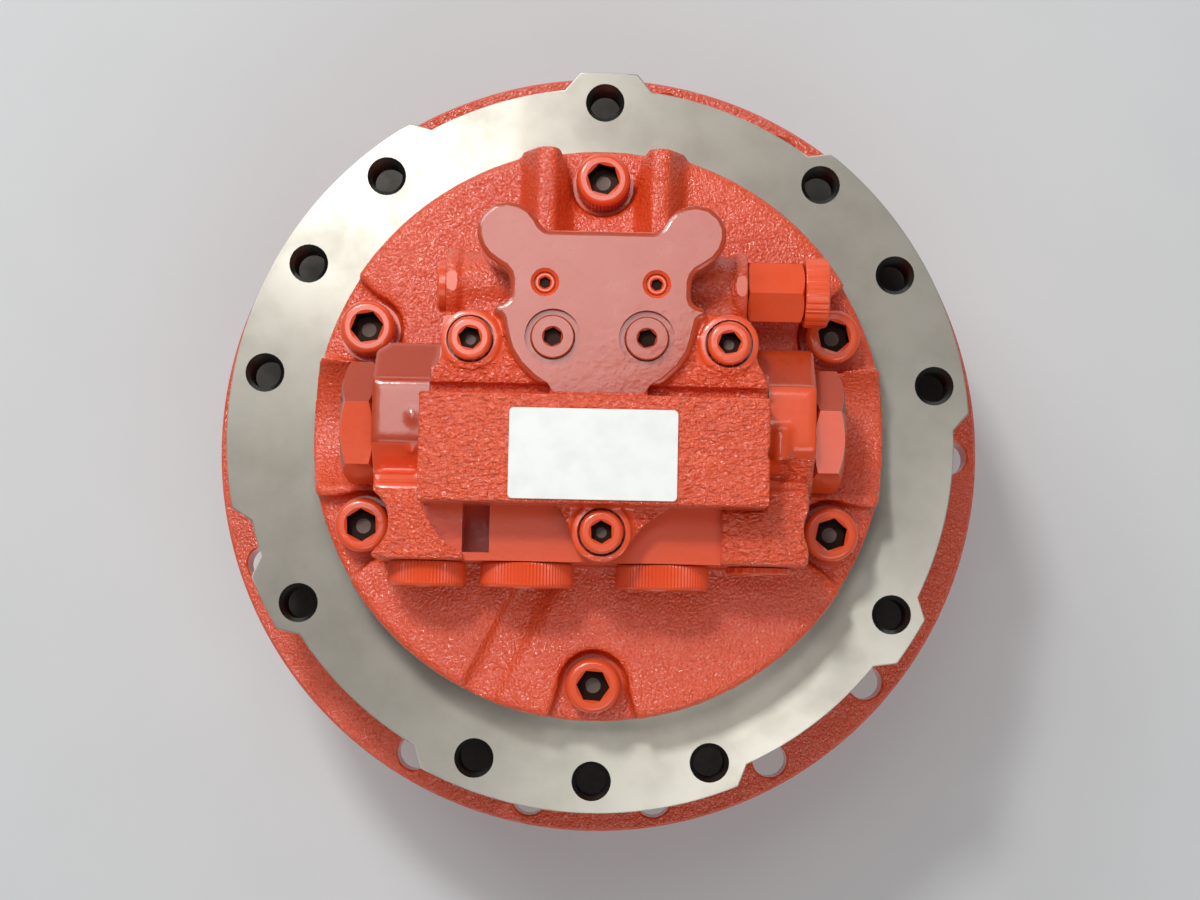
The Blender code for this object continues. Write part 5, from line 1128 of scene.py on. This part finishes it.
class FINALDRIVE_OT_caps(bpy.types.Operator):
    """The dust caps of the ports, the hexagon caps of the spool bore, and the pilot fittings"""

    bl_idname = "final_drive.caps"
    bl_label = "Caps"

    def execute(self, context):
        sizes = context.scene.final_drive_sizes
        for name, (x, radius, head) in PORT_CAPS.items():
            stem = radius - 5
            ribs = round(sizes.cap_ribs * radius / 17.4)
            rings = [
                (stem, -10), (stem, 0.3), (radius - 0.6, 0.3), (radius, radius - 0.45, 0.3 + head * 0.1),
                (radius, radius - 0.45, head * 0.84), (radius - 0.2, radius - 0.3, head * 0.94),
                (radius - 0.9, head + 0.3), (radius - 2.6, head + 0.3),
                (radius - 3, head - min(1, head * 0.3)),
            ]
            shape = laid(ribbed(rings, ribs), (x, PORT_FRONT, PORT_LEVEL), (0, -1, 0))
            made = to_object(f"{name}_dressed", shape, [look(moulded_cap_plastic)])
            finished(made, name)
        for x, side, word, length in ((COLLAR_LEFT, -1, "left", 12), (COLLAR_RIGHT, 1, "right", 11)):
            stem = drum(17, -12, 1, steps=48)
            place = (x, 0, SPOOL_LEVEL)
            made = hexagon_cap(f"spool_cap_{word}_dressed", 23.4, length, stem, 15 * side, place, side)
            # The caps' upper facets get the darker enamel: painted shade
            zoned(made, ((-120, 5, 200), (120, 40, ABOVE), SHADE_ENAMEL))
            finished(made, f"spool_cap_{word}")
        self.pilot(sizes)
        return {"FINISHED"}

    def pilot(self, sizes):
        place = (PILOT_RIGHT, PILOT_Y, PILOT_LEVEL)
        made = hexagon_cap("pilot_adapter_dressed", 12.5, 21, drum(7, -10, 1), -20, place, 1)
        cut(made, [laid(drum(6.3, 13, 24), place, (1, 0, 0))])
        finished(made, "pilot_adapter_right")
        rings = [
            (6, -8), (6, 0), (12.6, 0), (13.1, 12.7, 0.6), (13.1, 12.7, 7.9), (12.6, 8.7), (11.8, 9),
            (10.4, 9), (10, 8.2),
        ]
        cap = laid(ribbed(rings, round(sizes.cap_ribs * 0.75)), (76.1, PILOT_Y, PILOT_LEVEL), (1, 0, 0))
        made = to_object("pilot_dust_cap_dressed", cap, [look(moulded_cap_plastic)])
        finished(made, "pilot_dust_cap")
        profile = [(0, -10), (7, -10), (7, 0.3), (10, 0.3), (10, 2.7), (9.4, 3.3), (0, 3.3)]
        plug = laid(spun(profile, 56, MACHINED), (PILOT_LEFT, PILOT_Y, PILOT_LEVEL), (-1, 0, 0))
        made = to_object("pilot_plug_dressed", plug, painted())
        key = laid(hexagon_bar(4, -6, 6, DARK), (PILOT_LEFT - 2, PILOT_Y, PILOT_LEVEL), (-1, 0, 0))
        cut(made, [key])
        finished(made, "pilot_plug_left")


class FINALDRIVE_OT_inner_pieces(bpy.types.Operator):
    """The finishes of the pieces inside the drive, which keep the shape of their solids"""

    bl_idname = "final_drive.inner_pieces"
    bl_label = "Inner Pieces"

    def execute(self, context):
        for piece in frame["nodes"].values():
            for place in piece.material_slots:
                word = place.material.name.split(".")[0]
                if word not in LOOKS:
                    raise RuntimeError(f"no finish is named {word}")
                place.material = look(LOOKS[word])
        return {"FINISHED"}


def hung(name, data, place, turn):
    """A lamp or the camera at its place."""
    made = bpy.data.objects.new(name, data)
    made.location = Vector(place) * MM
    made.rotation_euler = turn
    bpy.context.scene.collection.objects.link(made)
    return made


class FINALDRIVE_OT_stage(bpy.types.Operator):
    """The pale floor, the soft lights, and the camera at the photo's place"""

    bl_idname = "final_drive.stage"
    bl_label = "Stage"

    def execute(self, context):
        scene = context.scene
        scene.view_settings.view_transform = "Standard"
        floor = bmesh.new()
        bmesh.ops.create_grid(floor, x_segments=1, y_segments=1, size=3)
        to_object("floor", floor, [look(studio_paper)])
        world = bpy.data.worlds.new("soft_room")
        world.use_nodes = True
        tree = world.node_tree
        tree.nodes.clear()
        ray = new_node(tree, "ShaderNodeLightPath")
        unmirrored = {"operation": "MULTIPLY_ADD", 1: ROOM_UNMIRRORED, 2: ROOM_LIGHT}
        dimmed = new_node(tree, "ShaderNodeMath", unmirrored, {0: ray.outputs["Is Glossy Ray"]})
        links = {0: ray.outputs["Is Camera Ray"], 2: dimmed.outputs["Value"]}
        strength = new_node(tree, "ShaderNodeMath", {"operation": "MULTIPLY_ADD", 1: ROOM_SEEN}, links)
        links = {"Strength": strength.outputs["Value"]}
        room = new_node(tree, "ShaderNodeBackground", {"Color": hex_colour("#E9EBEE")}, links)
        new_node(tree, "ShaderNodeOutputWorld", links={"Surface": room.outputs["Background"]})
        scene.world = world
        lamps = (
            ("overhead_softbox", (-65, 236, 1500), (490, 232), 1.4, (0, 100, 200)),
            ("key_lamp", (-330, 560, 1500), (170, 170), 7, (0, 0, 200)),
            ("window", (-640, 760, 1280), (560, 460), 4.8, (0, 0, 200)),
            ("low_window", (0, 1500, 520), (2200, 500), 4.2, (0, 0, 250)),
            ("front_fill", (260, -760, 1250), (1000, 700), 3.8, (0, -20, 200)),
        )
        for name, place, size, power, aim in lamps:
            data = bpy.data.lights.new(name, "AREA")
            data.shape = "RECTANGLE"
            data.size, data.size_y = [side * MM for side in size]
            data.energy = power
            hung(name, data, place, (Vector(aim) - Vector(place)).to_track_quat("-Z", "Y").to_euler())
        data = bpy.data.cameras.new("photo_camera")
        data.lens = CAMERA_LENS
        data.sensor_width = 36
        data.sensor_fit = "HORIZONTAL"
        turn = (math.radians(CAMERA_TILT), 0, math.radians(CAMERA_TURN))
        scene.camera = hung(data.name, data, CAMERA_PLACE, turn)
        return {"FINISHED"}


STEPS = (
    FINALDRIVE_OT_stage,
    FINALDRIVE_OT_inner_pieces,
    FINALDRIVE_OT_case,
    FINALDRIVE_OT_hub,
    FINALDRIVE_OT_end_cover,
    FINALDRIVE_OT_rear_cover,
    FINALDRIVE_OT_valve_block,
    FINALDRIVE_OT_screws,
    FINALDRIVE_OT_plugs,
    FINALDRIVE_OT_caps,
)


class FINALDRIVE_PT_sidebar(bpy.types.Panel):
    bl_idname = "FINALDRIVE_PT_sidebar"
    bl_label = "Final Drive"
    bl_space_type = "VIEW_3D"
    bl_region_type = "UI"
    bl_category = "Final Drive"

    def draw(self, context):
        for settings in (context.scene.final_drive_sizes, context.scene.final_drive_colours):
            for name in settings.__annotations__:
                self.layout.prop(settings, name)
        for step in STEPS:
            self.layout.operator(step.bl_idname)


CLASSES = (FinalDriveColours, FinalDriveSizes, *STEPS, FINALDRIVE_PT_sidebar)


def register():
    for made in CLASSES:
        bpy.utils.register_class(made)
    bpy.types.Scene.final_drive_colours = PointerProperty(type=FinalDriveColours)
    bpy.types.Scene.final_drive_sizes = PointerProperty(type=FinalDriveSizes)


def unregister():
    del bpy.types.Scene.final_drive_sizes
    del bpy.types.Scene.final_drive_colours
    for made in reversed(CLASSES):
        bpy.utils.unregister_class(made)


def main():
    register()
    for step in STEPS:
        group, word = step.bl_idname.split(".")
        getattr(getattr(bpy.ops, group), word)()


if __name__ == "__main__":
    main()
